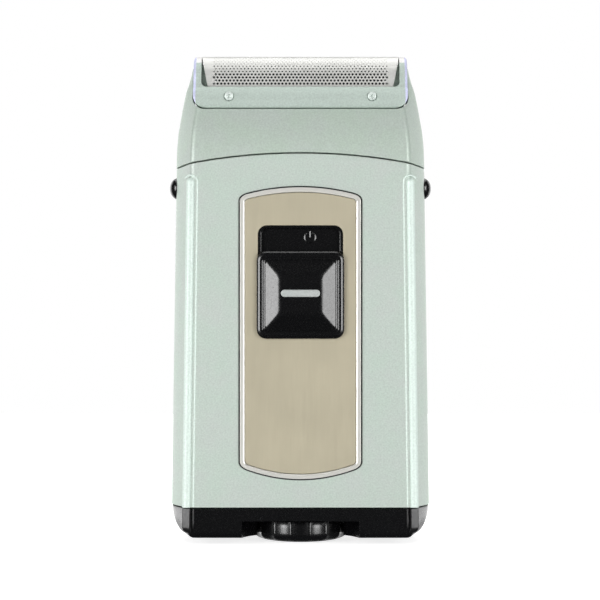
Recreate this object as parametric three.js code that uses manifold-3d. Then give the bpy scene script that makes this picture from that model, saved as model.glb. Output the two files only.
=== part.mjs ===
// A pocket electric shaver with a foil head: two half shells on a chassis, a lift-off head with a foil
// frame, an oscillating cutter driven by a small motor, a sliding power switch, two head-release buttons,
// two AA cells, and a battery cap held by a turning knob. Millimetres, +Z up, the front faces -Y. The
// origin is the middle of the lock knob's flat underside, on which the shaver stands.
import * as THREE from 'three';
import { mergeVertices } from 'three/addons/utils/BufferGeometryUtils.js';
import Module from 'manifold-3d';

const wasm = await Module();
wasm.setup();

// ---------------------------------------------------------------- driving dimensions
const GAP = 0.3;
const WALL = 1.8;

// body section: half width and half depth at its foot, and where the flat front ends
const BODY_HALF_W = 30.05;
const BODY_HALF_D = 13.5;
const FRONT_EDGE = 0.864;
const BODY_TAPER = 0.0148;
const BODY_BOTTOM = 8.45;
const BODY_TOP = 90;
const SEAM_TOP = 89.3;
const SEAM_RADIUS = 135;
const RIB_RADIUS = 1.0;
const RIB_SINK = 0.5;
const RIB_TOP = 82.65;

// battery cap and lock knob
const CAP_BOTTOM = 1.4;
const CAP_RIB_FOOT = 2.4;
const CAP_TOP = 8.15;
const CAP_STEP = 0.2;
const CAP_CORNER = 6.8;
const POCKET_TOP = 5.3;
const POCKET_RADIUS = 11.4;
const SCOOP_RADIUS = 13.5;
const KNOB_RADIUS = 10.9;
const KNOB_LAND = 7.4;
const KNOB_TOP = 5.0;
const KNOB_FLUTES = 16;
const LOCK_SHAFT_R = 2;

// face plate and switch
const PLATE_HALF_W = 13.76;
const PLATE_SIDE_LOW = 17.8;
const PLATE_SIDE_HIGH = 79.4;
const PLATE_LOW = 15.0;
const PLATE_HIGH = 81.4;
const PLATE_CORNER = 2;
const BEZEL_WIDTH = 1.05;
const PLATE_FACE = -13.85;
const BEZEL_FACE = -14.05;
const SEAT_FLOOR = -12.6;
const RECESS = { halfW: 9.7, low: 47.4, high: 72.75, corner: 2 };
const TRAY_RIM = 0.6;
const TRAY_FLOOR = -12.7;
const SLIDER = { half: 9.98, z: 56.9, back: -14.05, rim: -15.0, top: -16.4, corner: 2.2 };
const BAR = { halfW: 4.45, halfH: 0.83, z: 57.27 };

// head
const HEAD_TOP = 109.9;
const FRAME_HALF_W = 24.75;
const FRAME_BOTTOM = 99.8;
const FRAME_CORNER = 3;
const FRAME_FRONT_TOP = 104.9;
const FRAME_TOP = 112.4;
const WINDOW_HALF_W = 22.9;
const FOIL_RADIUS = 5.9;
const FOIL_CENTRE = 106.6;
const FOIL_THICKNESS = 0.3;
const FOIL_FOOT = 101.6;
const FOIL_SCREW = { x: 16.45, z: 102.6, r: 1.05 };
const END_WEB = { inner: 20.8, halfD: 3.4, low: 104, high: 110.4 };

// drive
const BUTTON_Z = 81.65;
const ECCENTRICITY = 1.2;
const CUTTER_TRAVEL = 1.2;
const CELL = { r: 7.25, x: 7.6, y: 0.6, bottom: 13.2, length: 50.5 };
const BLADES = { count: 23, pitch: 1.65, thickness: 0.5, r: 5.3 };

// ---------------------------------------------------------------- finishes
const finish = (color, roughness, metalness) => new THREE.MeshStandardMaterial({ color, roughness, metalness });
const FINISH = {
  silver: () => finish(0xc6cfc8, 0.42, 0.55),
  headSilver: () => finish(0xb6c3b8, 0.42, 0.55),
  gold: () => finish(0xbdb49e, 0.38, 0.7),
  chrome: () => finish(0xe4e4e0, 0.1, 1),
  black: () => finish(0x141416, 0.3, 0),
  light: () => finish(0xb8bdbb, 0.35, 0.6),
  steel: () => finish(0xcfd1cc, 0.25, 1),
  brass: () => finish(0xc9a24a, 0.3, 1),
  nylon: () => finish(0xe8e6de, 0.55, 0),
  grey: () => finish(0x5a5c5e, 0.6, 0),
  rubber: () => finish(0x202122, 0.85, 0),
  label: () => finish(0x2c6b4a, 0.4, 0.2),
  red: () => finish(0xa02020, 0.5, 0),
};

// ---------------------------------------------------------------- building blocks
// divisions of each drawn curve; a circular arc gets twice as many
const ARC = 3;
const SECTION_ARC = 4;

function solid(geometry) {
  const plain = geometry.clone();
  plain.deleteAttribute('normal');
  plain.deleteAttribute('uv');
  const merged = mergeVertices(plain, 1e-4);
  return new wasm.Manifold(new wasm.Mesh({
    numProp: 3,
    vertProperties: new Float32Array(merged.attributes.position.array),
    triVerts: new Uint32Array(merged.index.array),
  }));
}

function geometryOf(manifold) {
  const mesh = manifold.getMesh();
  const geometry = new THREE.BufferGeometry();
  geometry.setAttribute('position', new THREE.BufferAttribute(new Float32Array(mesh.vertProperties), 3));
  geometry.setIndex(new THREE.BufferAttribute(new Uint32Array(mesh.triVerts), 1));
  geometry.computeVertexNormals();
  return geometry;
}

const union = (first, ...rest) => rest.reduce((sum, next) => sum.add(next), first);
const without = (first, ...cuts) => cuts.reduce((left, cut) => left.subtract(cut), first);

function moveVertices(geometry, change) {
  const position = geometry.attributes.position;
  const point = new THREE.Vector3();
  for (let i = 0; i < position.count; i += 1) {
    change(point.fromBufferAttribute(position, i));
    position.setXYZ(i, point.x, point.y, point.z);
  }
  return geometry;
}

// a shape in the XY plane, carried up Z through the given heights
function columnGeometry(shape, heights, curveSegments = ARC) {
  const steps = heights.length - 1;
  const geometry = new THREE.ExtrudeGeometry(shape, { depth: steps, steps, bevelEnabled: false, curveSegments });
  return moveVertices(geometry, (p) => { p.z = heights[Math.round(p.z)]; });
}
const levelOf = (heights, z) => heights.findIndex((height) => Math.abs(height - z) < 1e-3);
const column = (shape, low, high, curveSegments) => solid(columnGeometry(shape, [low, high], curveSegments));

// a shape drawn in the XZ plane, carried along Y
function slabY(shape, front, back, curveSegments = ARC) {
  const geometry = new THREE.ExtrudeGeometry(shape, { depth: back - front, bevelEnabled: false, curveSegments });
  geometry.rotateX(Math.PI / 2);
  geometry.translate(0, back, 0);
  return solid(geometry);
}

// a shape drawn in the YZ plane, carried along X
function slabX(shape, left, right, curveSegments = ARC) {
  const geometry = new THREE.ExtrudeGeometry(shape, { depth: right - left, bevelEnabled: false, curveSegments });
  geometry.applyMatrix4(new THREE.Matrix4().makeBasis(
    new THREE.Vector3(0, 1, 0), new THREE.Vector3(0, 0, 1), new THREE.Vector3(1, 0, 0)));
  geometry.translate(left, 0, 0);
  return solid(geometry);
}

function block(x0, x1, y0, y1, z0, z1) {
  const geometry = new THREE.BoxGeometry(x1 - x0, y1 - y0, z1 - z0);
  geometry.translate((x0 + x1) / 2, (y0 + y1) / 2, (z0 + z1) / 2);
  return solid(geometry);
}

function rod(axis, radius, low, high, a, b, segments = 24) {
  const geometry = new THREE.CylinderGeometry(radius, radius, high - low, segments);
  const middle = (low + high) / 2;
  if (axis === 'z') {
    geometry.rotateX(Math.PI / 2);
    geometry.translate(a, b, middle);
  } else if (axis === 'x') {
    geometry.rotateZ(Math.PI / 2);
    geometry.translate(middle, a, b);
  } else {
    geometry.translate(a, middle, b);
  }
  return solid(geometry);
}

// a profile of [radius, height] points turned about Z
function turned(profile, segments = 32) {
  const geometry = new THREE.LatheGeometry(profile.map(([r, z]) => new THREE.Vector2(r, z)), segments);
  geometry.rotateX(Math.PI / 2);
  return solid(geometry);
}

function roundedRect(halfW, low, high, corner) {
  const shape = new THREE.Shape();
  shape.moveTo(-halfW + corner, low);
  shape.lineTo(halfW - corner, low);
  shape.absarc(halfW - corner, low + corner, corner, -Math.PI / 2, 0);
  shape.lineTo(halfW, high - corner);
  shape.absarc(halfW - corner, high - corner, corner, 0, Math.PI / 2);
  shape.lineTo(-halfW + corner, high);
  shape.absarc(-halfW + corner, high - corner, corner, Math.PI / 2, Math.PI);
  shape.lineTo(-halfW, low + corner);
  shape.absarc(-halfW + corner, low + corner, corner, Math.PI, Math.PI * 1.5);
  return shape;
}

// one wire wound on a line from start to end
class Helix extends THREE.Curve {
  constructor(start, end, radius, turns) {
    super();
    this.start = start;
    this.along = end.clone().sub(start);
    this.radius = radius;
    this.turns = turns;
    const up = Math.abs(this.along.z) > 0.1 ? new THREE.Vector3(1, 0, 0) : new THREE.Vector3(0, 0, 1);
    this.u = up.cross(this.along).normalize();
    this.v = this.along.clone().cross(this.u).normalize();
  }

  getPoint(t) {
    const angle = t * this.turns * Math.PI * 2;
    return this.start.clone()
      .addScaledVector(this.along, t)
      .addScaledVector(this.u, this.radius * Math.cos(angle))
      .addScaledVector(this.v, this.radius * Math.sin(angle));
  }
}

function wire(path, radius, steps, sides = 6) {
  const ring = new THREE.Shape();
  for (let i = 0; i < sides; i += 1) {
    const angle = (i / sides) * Math.PI * 2;
    ring[i ? 'lineTo' : 'moveTo'](radius * Math.cos(angle), radius * Math.sin(angle));
  }
  ring.closePath();
  return solid(new THREE.ExtrudeGeometry(ring, { steps, extrudePath: path, bevelEnabled: false }));
}

function coil(start, end, radius, wireRadius, turns) {
  const path = new Helix(new THREE.Vector3(...start), new THREE.Vector3(...end), radius, turns);
  return wire(path, wireRadius, turns * 9, 4);
}

// ---------------------------------------------------------------- the body's outline
// Flat front, a crisp corner, a side that slopes out to mid-depth, and a rounder back. inset moves the wall in.
function bodySection(inset = 0) {
  const w = BODY_HALF_W - inset;
  const d = BODY_HALF_D - inset;
  const edge = BODY_HALF_W * FRONT_EDGE - inset * 0.75;
  const corner = 1.1;
  const half = [
    [edge - corner, -d],
    [edge, -d, edge + 0.4, -d + corner],
    [w - 0.55, -0.42 * d, w - 0.3, -0.3 * d],
    [w, -0.1 * d, w, 0.08 * d],
    [w, 0.62 * d, w - 3, 0.84 * d],
    [w - 5, d, w - 9, d],
  ];
  const shape = new THREE.Shape();
  shape.moveTo(...half[0]);
  half.slice(1).forEach((q) => shape.quadraticCurveTo(...q));
  const ends = half.map((q) => q.slice(-2));
  shape.lineTo(-ends[ends.length - 1][0], d);
  for (let i = half.length - 1; i > 0; i -= 1) {
    shape.quadraticCurveTo(-half[i][0], half[i][1], -ends[i - 1][0], ends[i - 1][1]);
  }
  shape.closePath();
  return shape;
}

const bodyHalfW = (z) => BODY_HALF_W - BODY_TAPER * (z - BODY_BOTTOM);
const seamHeight = (x) => SEAM_TOP - SEAM_RADIUS + Math.sqrt(SEAM_RADIUS ** 2 - x ** 2);

// the section carried up the body with its taper
function bodyColumn(inset, low, high) {
  return solid(moveVertices(columnGeometry(bodySection(inset), [low, high], SECTION_ARC), (p) => {
    p.x *= (bodyHalfW(p.z) - inset) / (BODY_HALF_W - inset);
  }));
}

// everything under the arched seam, moved down by drop
function underSeam(drop, low) {
  const shape = new THREE.Shape();
  const reach = 34;
  const steps = 24;
  shape.moveTo(-reach, low);
  shape.lineTo(reach, low);
  for (let i = 0; i <= steps; i += 1) {
    const x = reach - (2 * reach * i) / steps;
    shape.lineTo(x, seamHeight(x) - drop);
  }
  shape.closePath();
  return slabY(shape, -20, 20);
}

// half width and half depth of the head at its heights
const HEAD_PROFILE = [
  [85, 28.93, 13.5], [88.5, 28.88, 13.45], [91.5, 28.75, 13.2], [94.5, 28.45, 12.6], [97.5, 27.95, 11.6],
  [100, 27.5, 10.6], [102.3, 27.05, 9.8], [104.3, 26.6, 8.9], [106, 26.0, 8.0], [108, 25.45, 6.9],
  [HEAD_TOP, 25.05, 5.6],
];

function headColumn(inset, profile) {
  const heights = profile.map(([z]) => z);
  const geometry = columnGeometry(bodySection(inset), heights, SECTION_ARC);
  return solid(moveVertices(geometry, (p) => {
    const [, w, d] = profile[levelOf(heights, p.z)];
    p.x *= (w - inset) / (BODY_HALF_W - inset);
    p.y *= (d - inset) / (BODY_HALF_D - inset);
  }));
}

// ---------------------------------------------------------------- shells
function ribs(low, high, rounded) {
  const rib = (side) => {
    const x = (z) => side * bodyHalfW(z) * FRONT_EDGE;
    const geometry = new THREE.CylinderGeometry(RIB_RADIUS, RIB_RADIUS, 1, 12);
    geometry.rotateX(Math.PI / 2);
    moveVertices(geometry, (p) => {
      p.z = low + (p.z + 0.5) * (high - low);
      p.x += x(p.z);
      p.y -= BODY_HALF_D - RIB_SINK;
    });
    if (!rounded) {
      return solid(geometry);
    }
    const end = new THREE.SphereGeometry(RIB_RADIUS, 12, 8);
    end.rotateX(Math.PI / 2);
    end.translate(x(high), -BODY_HALF_D + RIB_SINK, high);
    return solid(geometry).add(solid(end));
  };
  return rib(-1).add(rib(1));
}

// the arched outline of the face plate, moved in by inset
function plateOutline(inset) {
  const half = PLATE_HALF_W - inset;
  const riseLow = PLATE_SIDE_LOW - PLATE_LOW;
  const riseHigh = PLATE_HIGH - PLATE_SIDE_HIGH;
  const corner = Math.max(PLATE_CORNER - inset, 0.6);
  const steps = 6;
  const shape = new THREE.Shape();
  const bow = (x) => 1 - (x / PLATE_HALF_W) ** 2;
  const lower = (x) => PLATE_SIDE_LOW + inset - riseLow * bow(x);
  const upper = (x) => PLATE_SIDE_HIGH - inset + riseHigh * bow(x);
  const inner = half - corner * 0.8;
  shape.moveTo(-half, PLATE_SIDE_LOW + inset + corner * 0.6);
  shape.quadraticCurveTo(-half, lower(half), -inner, lower(inner));
  for (let i = 1; i <= steps; i += 1) {
    const x = -inner + (2 * inner * i) / steps;
    shape.lineTo(x, lower(x));
  }
  shape.quadraticCurveTo(half, lower(half), half, PLATE_SIDE_LOW + inset + corner * 0.6);
  shape.lineTo(half, PLATE_SIDE_HIGH - inset - corner * 0.6);
  shape.quadraticCurveTo(half, upper(half), inner, upper(inner));
  for (let i = 1; i <= steps; i += 1) {
    const x = inner - (2 * inner * i) / steps;
    shape.lineTo(x, upper(x));
  }
  shape.quadraticCurveTo(-half, upper(half), -half, PLATE_SIDE_HIGH - inset - corner * 0.6);
  shape.closePath();
  return shape;
}

const recessOutline = (inset) => roundedRect(
  RECESS.halfW - inset, RECESS.low + inset, RECESS.high - inset, Math.max(RECESS.corner - inset, 0.4));

// an oval across the parting plane at each side, for the release buttons
function buttonHole(side, grow) {
  const shape = new THREE.Shape();
  const half = 2.55 + grow;
  const run = 1.9;
  shape.moveTo(-run, BUTTON_Z - half);
  shape.lineTo(run, BUTTON_Z - half);
  shape.absarc(run, BUTTON_Z, half, -Math.PI / 2, Math.PI / 2);
  shape.lineTo(-run, BUTTON_Z + half);
  shape.absarc(-run, BUTTON_Z, half, Math.PI / 2, Math.PI * 1.5);
  return side < 0 ? slabX(shape, -32, -24) : slabX(shape, 24, 32);
}

const PARTING = 0.1;
const seamDrop = GAP / 2;

function bodyShell() {
  const outer = bodyColumn(0, BODY_BOTTOM, BODY_TOP).intersect(underSeam(seamDrop, 0));
  const hollow = bodyColumn(WALL, BODY_BOTTOM - 5, BODY_TOP + 5);
  return without(outer, hollow, buttonHole(-1, 0.15), buttonHole(1, 0.15));
}

function frontShell() {
  const ribbed = bodyShell().add(
    ribs(BODY_BOTTOM, RIB_TOP, true).subtract(bodyColumn(WALL, BODY_BOTTOM - 5, BODY_TOP + 5)));
  return without(
    ribbed.intersect(block(-40, 40, -20, -PARTING, 0, 120)),
    slabY(plateOutline(-0.15), -20, SEAT_FLOOR),
    slabY(recessOutline(-0.1), -20, -10),
  );
}

const SCREW_HEIGHTS = { lower: 24, upper: 76 };

function rearShell() {
  const half = bodyShell().intersect(block(-40, 40, PARTING, 20, 0, 120));
  const pockets = Object.values(SCREW_HEIGHTS).flatMap((z) => [
    rod('y', 2.6, 12.3, 20, 0, z),
    rod('y', 1.15, 5, 20, 0, z, 16),
  ]);
  return without(half, ...pockets);
}

function headShell() {
  const outer = headColumn(0, HEAD_PROFILE);
  const overSeam = block(-40, 40, -20, 20, 80, 120).subtract(underSeam(-seamDrop, 70));
  const cavity = headColumn(WALL, HEAD_PROFILE.filter(([z]) => z < 98))
    .subtract(block(-40, 40, -20, 20, 97.2, 120));
  const shaft = block(-22.2, 22.2, -6.15, 6.15, 90, 120);
  const saddle = slabY(roundedRect(FRAME_HALF_W + 0.15, FRAME_BOTTOM - GAP, 130, FRAME_CORNER), -20, 20);
  const collar = without(block(-22.5, 22.5, -7.55, 7.55, 98, 103.2), shaft);
  const catches = [-1, 1].map((side) => block(
    side < 0 ? -27.6 : 26.75, side < 0 ? -26.75 : 27.6, -4, 4, 87.6, 89));
  const screwHoles = [-1, 1].map((side) => rod('y', 0.75, -9, -6, side * FOIL_SCREW.x, FOIL_SCREW.z, 12));
  const shell = without(outer.intersect(overSeam), cavity, shaft, saddle);
  const footing = union(collar, ...catches.map((c) => c.intersect(outer)));
  return without(shell.add(footing), ...screwHoles);
}

// ---------------------------------------------------------------- foil head
// side outline of the foil frame: a foot, shoulders drawn in, and an arched top
function frameSide(top) {
  const shape = new THREE.Shape();
  shape.moveTo(-9.4, FRAME_BOTTOM);
  shape.lineTo(9.4, FRAME_BOTTOM);
  shape.lineTo(9.3, 101);
  shape.quadraticCurveTo(9.1, 103.2, 7.1, FRAME_FRONT_TOP);
  shape.lineTo(6.7, 106.2);
  shape.absarc(0, top - 6.7, 6.7, 0, Math.PI);
  shape.lineTo(-7.1, FRAME_FRONT_TOP);
  shape.quadraticCurveTo(-9.1, 103.2, -9.3, 101);
  shape.closePath();
  return shape;
}

function foilFrame() {
  const outline = slabY(roundedRect(FRAME_HALF_W, FRAME_BOTTOM, 130, FRAME_CORNER), -20, 20);
  const outer = slabX(frameSide(FRAME_TOP), -FRAME_HALF_W, FRAME_HALF_W).intersect(outline);
  const window = slabY(roundedRect(WINDOW_HALF_W, FRAME_FRONT_TOP, 130, 1.2), -20, 20);
  const inner = new THREE.Shape();
  inner.moveTo(-7.8, 90);
  inner.lineTo(7.8, 90);
  inner.lineTo(7.8, 103.4);
  inner.lineTo(6.3, 104.6);
  inner.lineTo(6.3, 110);
  inner.lineTo(-6.3, 110);
  inner.lineTo(-6.3, 104.6);
  inner.lineTo(-7.8, 103.4);
  const screwHoles = [-1, 1].flatMap((side) => [
    rod('y', FOIL_SCREW.r + 0.15, -12, -8.5, side * FOIL_SCREW.x, FOIL_SCREW.z, 16),
    rod('y', 0.75, -12, -6, side * FOIL_SCREW.x, FOIL_SCREW.z, 12),
  ]);
  const webs = [-1, 1].map((side) => block(
    Math.min(side * END_WEB.inner, side * (WINDOW_HALF_W + 0.1)),
    Math.max(side * END_WEB.inner, side * (WINDOW_HALF_W + 0.1)),
    -END_WEB.halfD, END_WEB.halfD, END_WEB.low, END_WEB.high));
  const open = without(outer, window, slabX(inner, -WINDOW_HALF_W, WINDOW_HALF_W), ...screwHoles);
  return union(open, ...webs);
}

// the arched sheet; its ends lean outwards towards the crown
function shavingFoil() {
  const shape = new THREE.Shape();
  const inner = FOIL_RADIUS - FOIL_THICKNESS;
  shape.moveTo(FOIL_RADIUS, FOIL_FOOT);
  shape.lineTo(FOIL_RADIUS, FOIL_CENTRE);
  shape.absarc(0, FOIL_CENTRE, FOIL_RADIUS, 0, Math.PI);
  shape.lineTo(-FOIL_RADIUS, FOIL_FOOT);
  shape.lineTo(-inner, FOIL_FOOT);
  shape.lineTo(-inner, FOIL_CENTRE);
  shape.absarc(0, FOIL_CENTRE, inner, Math.PI, 0, true);
  shape.lineTo(inner, FOIL_FOOT);
  shape.closePath();
  const geometry = new THREE.ExtrudeGeometry(shape, { depth: 1, bevelEnabled: false, curveSegments: 8 });
  geometry.applyMatrix4(new THREE.Matrix4().makeBasis(
    new THREE.Vector3(0, 1, 0), new THREE.Vector3(0, 0, 1), new THREE.Vector3(1, 0, 0)));
  return solid(moveVertices(geometry, (p) => {
    const lean = 1.2 * Math.max(0, (p.z - FRAME_FRONT_TOP) / (FOIL_CENTRE + FOIL_RADIUS - FRAME_FRONT_TOP));
    p.x = (p.x > 0.5 ? 1 : -1) * (21.4 + lean);
  }));
}

function crossScrew(radius, headDepth, shaftRadius, length) {
  const head = turned(
    [[0, 0], [radius, 0], [radius, headDepth * 0.5], [radius * 0.7, headDepth], [0, headDepth]], 20);
  const shank = turned([[0, -length], [shaftRadius, -length], [shaftRadius, 0.1], [0, 0.1]], 12);
  const cut = radius * 0.16;
  return without(
    head.add(shank),
    block(-cut, cut, -radius * 0.6, radius * 0.6, headDepth * 0.45, headDepth + 1),
    block(-radius * 0.6, radius * 0.6, -cut, cut, headDepth * 0.45, headDepth + 1),
  );
}

// ---------------------------------------------------------------- battery cap and knob
function capColumn(inset, low, high) {
  const heights = [low];
  const steps = 6;
  for (let i = 1; i <= steps; i += 1) {
    heights.push(low + (high - low) * (i / steps) ** 1.5);
  }
  const edge = BODY_HALF_W * FRONT_EDGE - 0.5;
  return solid(moveVertices(columnGeometry(bodySection(inset), heights, SECTION_ARC), (p) => {
    const side = Math.sqrt(Math.max(0, 1 - ((CAP_TOP - p.z) / CAP_CORNER) ** 2));
    const round = 1.3;
    const under = Math.min(1, Math.max(0, 1 - (p.z - low) / round));
    const keep = 1 - (1 - Math.sqrt(1 - under ** 2)) * (round / BODY_HALF_D);
    if (Math.abs(p.x) > edge) {
      p.x = Math.sign(p.x) * (edge + (Math.abs(p.x) - edge) * Math.max(side, 0.12));
    }
    p.x *= 1 - (1 - keep) * 0.5;
    p.y *= keep;
  }));
}

function batteryCap() {
  const shell = capColumn(CAP_STEP, CAP_BOTTOM, CAP_TOP).add(
    ribs(CAP_BOTTOM + CAP_RIB_FOOT, CAP_TOP, false));
  const sideHollow = (side) => block(Math.min(side * 14.5, side * 25), Math.max(side * 14.5, side * 25), -9.4, 9.4, 3.8, 20);
  const collar = bodyColumn(2.6, CAP_TOP - 0.6, 10.5).subtract(bodyColumn(3.8, 0, 20));
  const shaped = without(
    shell,
    rod('z', POCKET_RADIUS, -5, POCKET_TOP, 0, 0, 40),
    rod('z', SCOOP_RADIUS, -5, POCKET_TOP, 0, -BODY_HALF_D - 1.2, 40),
    rod('z', SCOOP_RADIUS, -5, POCKET_TOP, 0, BODY_HALF_D + 1.2, 40),
    block(-15, 15, -9.4, 9.4, 6.8, 20),
    sideHollow(-1),
    sideHollow(1),
    rod('z', LOCK_SHAFT_R + 0.1, 0, 20, 0, 0, 32),
  );
  return shaped.add(collar);
}

function lockKnob() {
  const shape = new THREE.Shape();
  const dips = [0.75, 0.35, 0, 0.35];
  const points = KNOB_FLUTES * dips.length;
  for (let i = 0; i < points; i += 1) {
    const angle = (i / points) * Math.PI * 2;
    const r = KNOB_RADIUS - dips[i % dips.length];
    shape[i ? 'lineTo' : 'moveTo'](r * Math.cos(angle), r * Math.sin(angle));
  }
  shape.closePath();
  const heights = [0, 0.3, 0.8, 1.6, KNOB_TOP];
  const reach = [KNOB_LAND, 9.1, 10.2, KNOB_RADIUS, KNOB_RADIUS];
  const geometry = moveVertices(columnGeometry(shape, heights), (p) => {
    const scale = reach[levelOf(heights, p.z)] / KNOB_RADIUS;
    p.x *= scale;
    p.y *= scale;
  });
  return solid(geometry).subtract(rod('z', LOCK_SHAFT_R + 0.1, 2, 20, 0, 0, 32));
}

function lockShaft() {
  const finger = block(-1.6, 1.6, 0, 4.6, 10.9, 11.8);
  return rod('z', LOCK_SHAFT_R, 2.3, 11.8, 0, 0, 32).add(finger);
}

// ---------------------------------------------------------------- switch
function switchTray() {
  const cup = slabY(recessOutline(0.05), -13.65, -11.4).subtract(slabY(recessOutline(TRAY_RIM), -20, TRAY_FLOOR));
  return cup.subtract(block(-2.7, 2.7, -20, 0, 53.3, 66.3));
}

// a square thumb piece: rounded rim, flat border, then a low four-sided mound with a level top
function powerSlider() {
  const low = SLIDER.z - SLIDER.half;
  const high = SLIDER.z + SLIDER.half;
  const base = roundedRect(SLIDER.half, low, high, SLIDER.corner);
  const rim = roundedRect(SLIDER.half - 0.35, low + 0.35, high - 0.35, SLIDER.corner - 0.3);
  const rise = SLIDER.rim - SLIDER.top;
  const mound = new THREE.CylinderGeometry(4.65 * Math.SQRT2, 7.8 * Math.SQRT2, rise, 4);
  mound.rotateY(Math.PI / 4);
  mound.rotateX(Math.PI);
  mound.translate(0, SLIDER.rim - rise / 2, SLIDER.z);
  const seat = slabY(roundedRect(BAR.halfW + 0.1, BAR.z - BAR.halfH - 0.1, BAR.z + BAR.halfH + 0.1, BAR.halfH),
    -20, SLIDER.top + 0.6);
  const stem = block(-2.4, 2.4, SLIDER.back, -9.4, SLIDER.z - 3.2, SLIDER.z + 3.2);
  return without(union(
    slabY(base, SLIDER.rim + 0.35, SLIDER.back),
    slabY(rim, SLIDER.rim, SLIDER.rim + 0.35),
    solid(mound),
    stem,
  ), seat);
}

// ---------------------------------------------------------------- inner parts
function chassis() {
  const back = block(-16.9, 16.9, 8.1, 9.5, 13, 84);
  const wall = (side) => block(Math.min(side * 15.4, side * 16.9), Math.max(side * 15.4, side * 16.9), -6.8, 8.2, 13, 84);
  const shelf = block(-16.9, 16.9, -6.8, 8.2, 65.6, 66.6);
  const cradle = (side) => block(Math.min(side * 10.5, side * 15.6), Math.max(side * 10.5, side * 15.6), -3, 8.2, 70, 71.2);
  const ledge = union(block(-2.6, 2.6, 8.1, 9.3, 9.8, 13.2), block(-2.6, 2.6, 4.9, 8.3, 9.8, 10.6));
  const bosses = Object.values(SCREW_HEIGHTS).map((z) => rod('y', 2.6, 9.4, 11.3, 0, z, 20));
  const holes = Object.values(SCREW_HEIGHTS).map((z) => rod('y', 0.95, 8, 15, 0, z, 12));
  return without(union(back, wall(-1), wall(1), shelf, cradle(-1), cradle(1), ledge, ...bosses), ...holes);
}

function topDeck() {
  const plate = bodyColumn(WALL + GAP, 84.6, 86).intersect(block(-26.4, 26.4, -20, 20, 80, 90));
  const neck = rod('z', 7.4, 85.9, 86.7, 0, 0).subtract(rod('z', 6.2, 80, 90, 0, 0));
  const notch = (side) => block(Math.min(side * 22.7, side * 30), Math.max(side * 22.7, side * 30), -3.6, 3.6, 80, 90);
  return without(plate.add(neck), rod('z', 5.6, 80, 90, 0, 0), notch(-1), notch(1));
}

function cell(side) {
  const end = CELL.bottom + CELL.length;
  const profile = [
    [0, CELL.bottom], [6.2, CELL.bottom], [CELL.r, CELL.bottom + 0.6], [CELL.r, end - 1.6], [6.6, end - 1],
    [2.7, end - 1], [2.7, end], [0, end],
  ];
  const flipped = profile.map(([r, z]) => [r, CELL.bottom + end - z]).reverse();
  return turned(side < 0 ? profile : flipped, 24).translate([side * CELL.x, CELL.y, 0]);
}

function motorCan() {
  const round = turned([[0, 69.4], [10.1, 69.4], [10.1, 83.6], [9.6, 84.1], [0, 84.1]], 32);
  return round.intersect(block(-12, 12, -7.5, 7.5, 60, 90)).subtract(rod('z', 3.2, 83.4, 90, 0, 0, 20));
}

function releaseButton(side) {
  const start = bodyHalfW(BUTTON_Z) - 0.5;
  const capShape = buttonHole(side, -0.1).intersect(block(-31, 31, -10, 10, 70, 90));
  const dome = new THREE.SphereGeometry(1, 16, 10);
  dome.scale(2.0, 5.0, 2.75);
  dome.translate(side * (start - 0.1), 0, BUTTON_Z);
  const limb = (x0, x1, y, z0, z1) => block(Math.min(side * x0, side * x1), Math.max(side * x0, side * x1), -y, y, z0, z1);
  return union(
    capShape.intersect(limb(26, start, 10, 70, 90)),
    capShape.intersect(solid(dome)),
    limb(24.3, 26.2, 2.6, BUTTON_Z - 2.2, BUTTON_Z + 2.2),
    limb(24.3, 25.6, 3, BUTTON_Z - 1, 90.6),
    limb(25.4, 26.5, 3, 89.3, 90.6),
    solid(new THREE.CylinderGeometry(0.9, 0.9, 3, 12).rotateZ(Math.PI / 2).translate(side * 22.9, 0, BUTTON_Z)),
  );
}

function eccentric() {
  const disc = rod('z', 4.2, 87, 90, 0, 0, 28).subtract(rod('z', 1.06, 80, 95, 0, 0, 24));
  const pin = rod('z', 0.9, 89.9, 94, ECCENTRICITY + 1, 0, 16);
  return disc.add(pin);
}

const PIN_ORBIT = ECCENTRICITY + 1;

function driveBridge() {
  const bar = block(-14, 14, -4.8, 4.8, 91, 95.6);
  const slotX = 0.9 + PIN_ORBIT + CUTTER_TRAVEL + 0.2;
  const slot = block(-slotX, slotX, -0.9 - PIN_ORBIT - 0.3, 0.9 + PIN_ORBIT + 0.3, 90, 94.5);
  const leg = (side) => block(Math.min(side * 12.9, side * 13.9), Math.max(side * 12.9, side * 13.9), -4.8, 4.8, 86.4, 91.2);
  return without(union(bar, leg(-1), leg(1)), slot, rod('z', 1.3, 95, 97, 0, 0, 16));
}

function cutterHolder() {
  const block1 = block(-18.6, 18.6, -3.9, 3.9, 101, 104.2);
  return block1.subtract(rod('z', 2.2, 100, 103.4, 0, 0, 20));
}

function cutterBlades() {
  const profile = new THREE.Shape();
  profile.moveTo(BLADES.r, FOIL_CENTRE - 1.6);
  profile.lineTo(BLADES.r, FOIL_CENTRE);
  profile.absarc(0, FOIL_CENTRE, BLADES.r, 0, Math.PI);
  profile.lineTo(-BLADES.r, FOIL_CENTRE - 1.6);
  profile.closePath();
  const bore = new THREE.Path();
  bore.absarc(0, FOIL_CENTRE + 0.4, 3.4, 0, Math.PI, false);
  bore.lineTo(-3.4, FOIL_CENTRE - 0.4);
  bore.lineTo(3.4, FOIL_CENTRE - 0.4);
  profile.holes.push(bore);
  const reach = ((BLADES.count - 1) / 2) * BLADES.pitch;
  const blades = [];
  for (let i = 0; i < BLADES.count; i += 1) {
    const x = -reach + i * BLADES.pitch;
    blades.push(slabX(profile, x - BLADES.thickness / 2, x + BLADES.thickness / 2, 4));
  }
  return union(block(-reach - 0.2, reach + 0.2, -2.2, 2.2, 104.5, FOIL_CENTRE - 0.8), ...blades);
}

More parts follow.
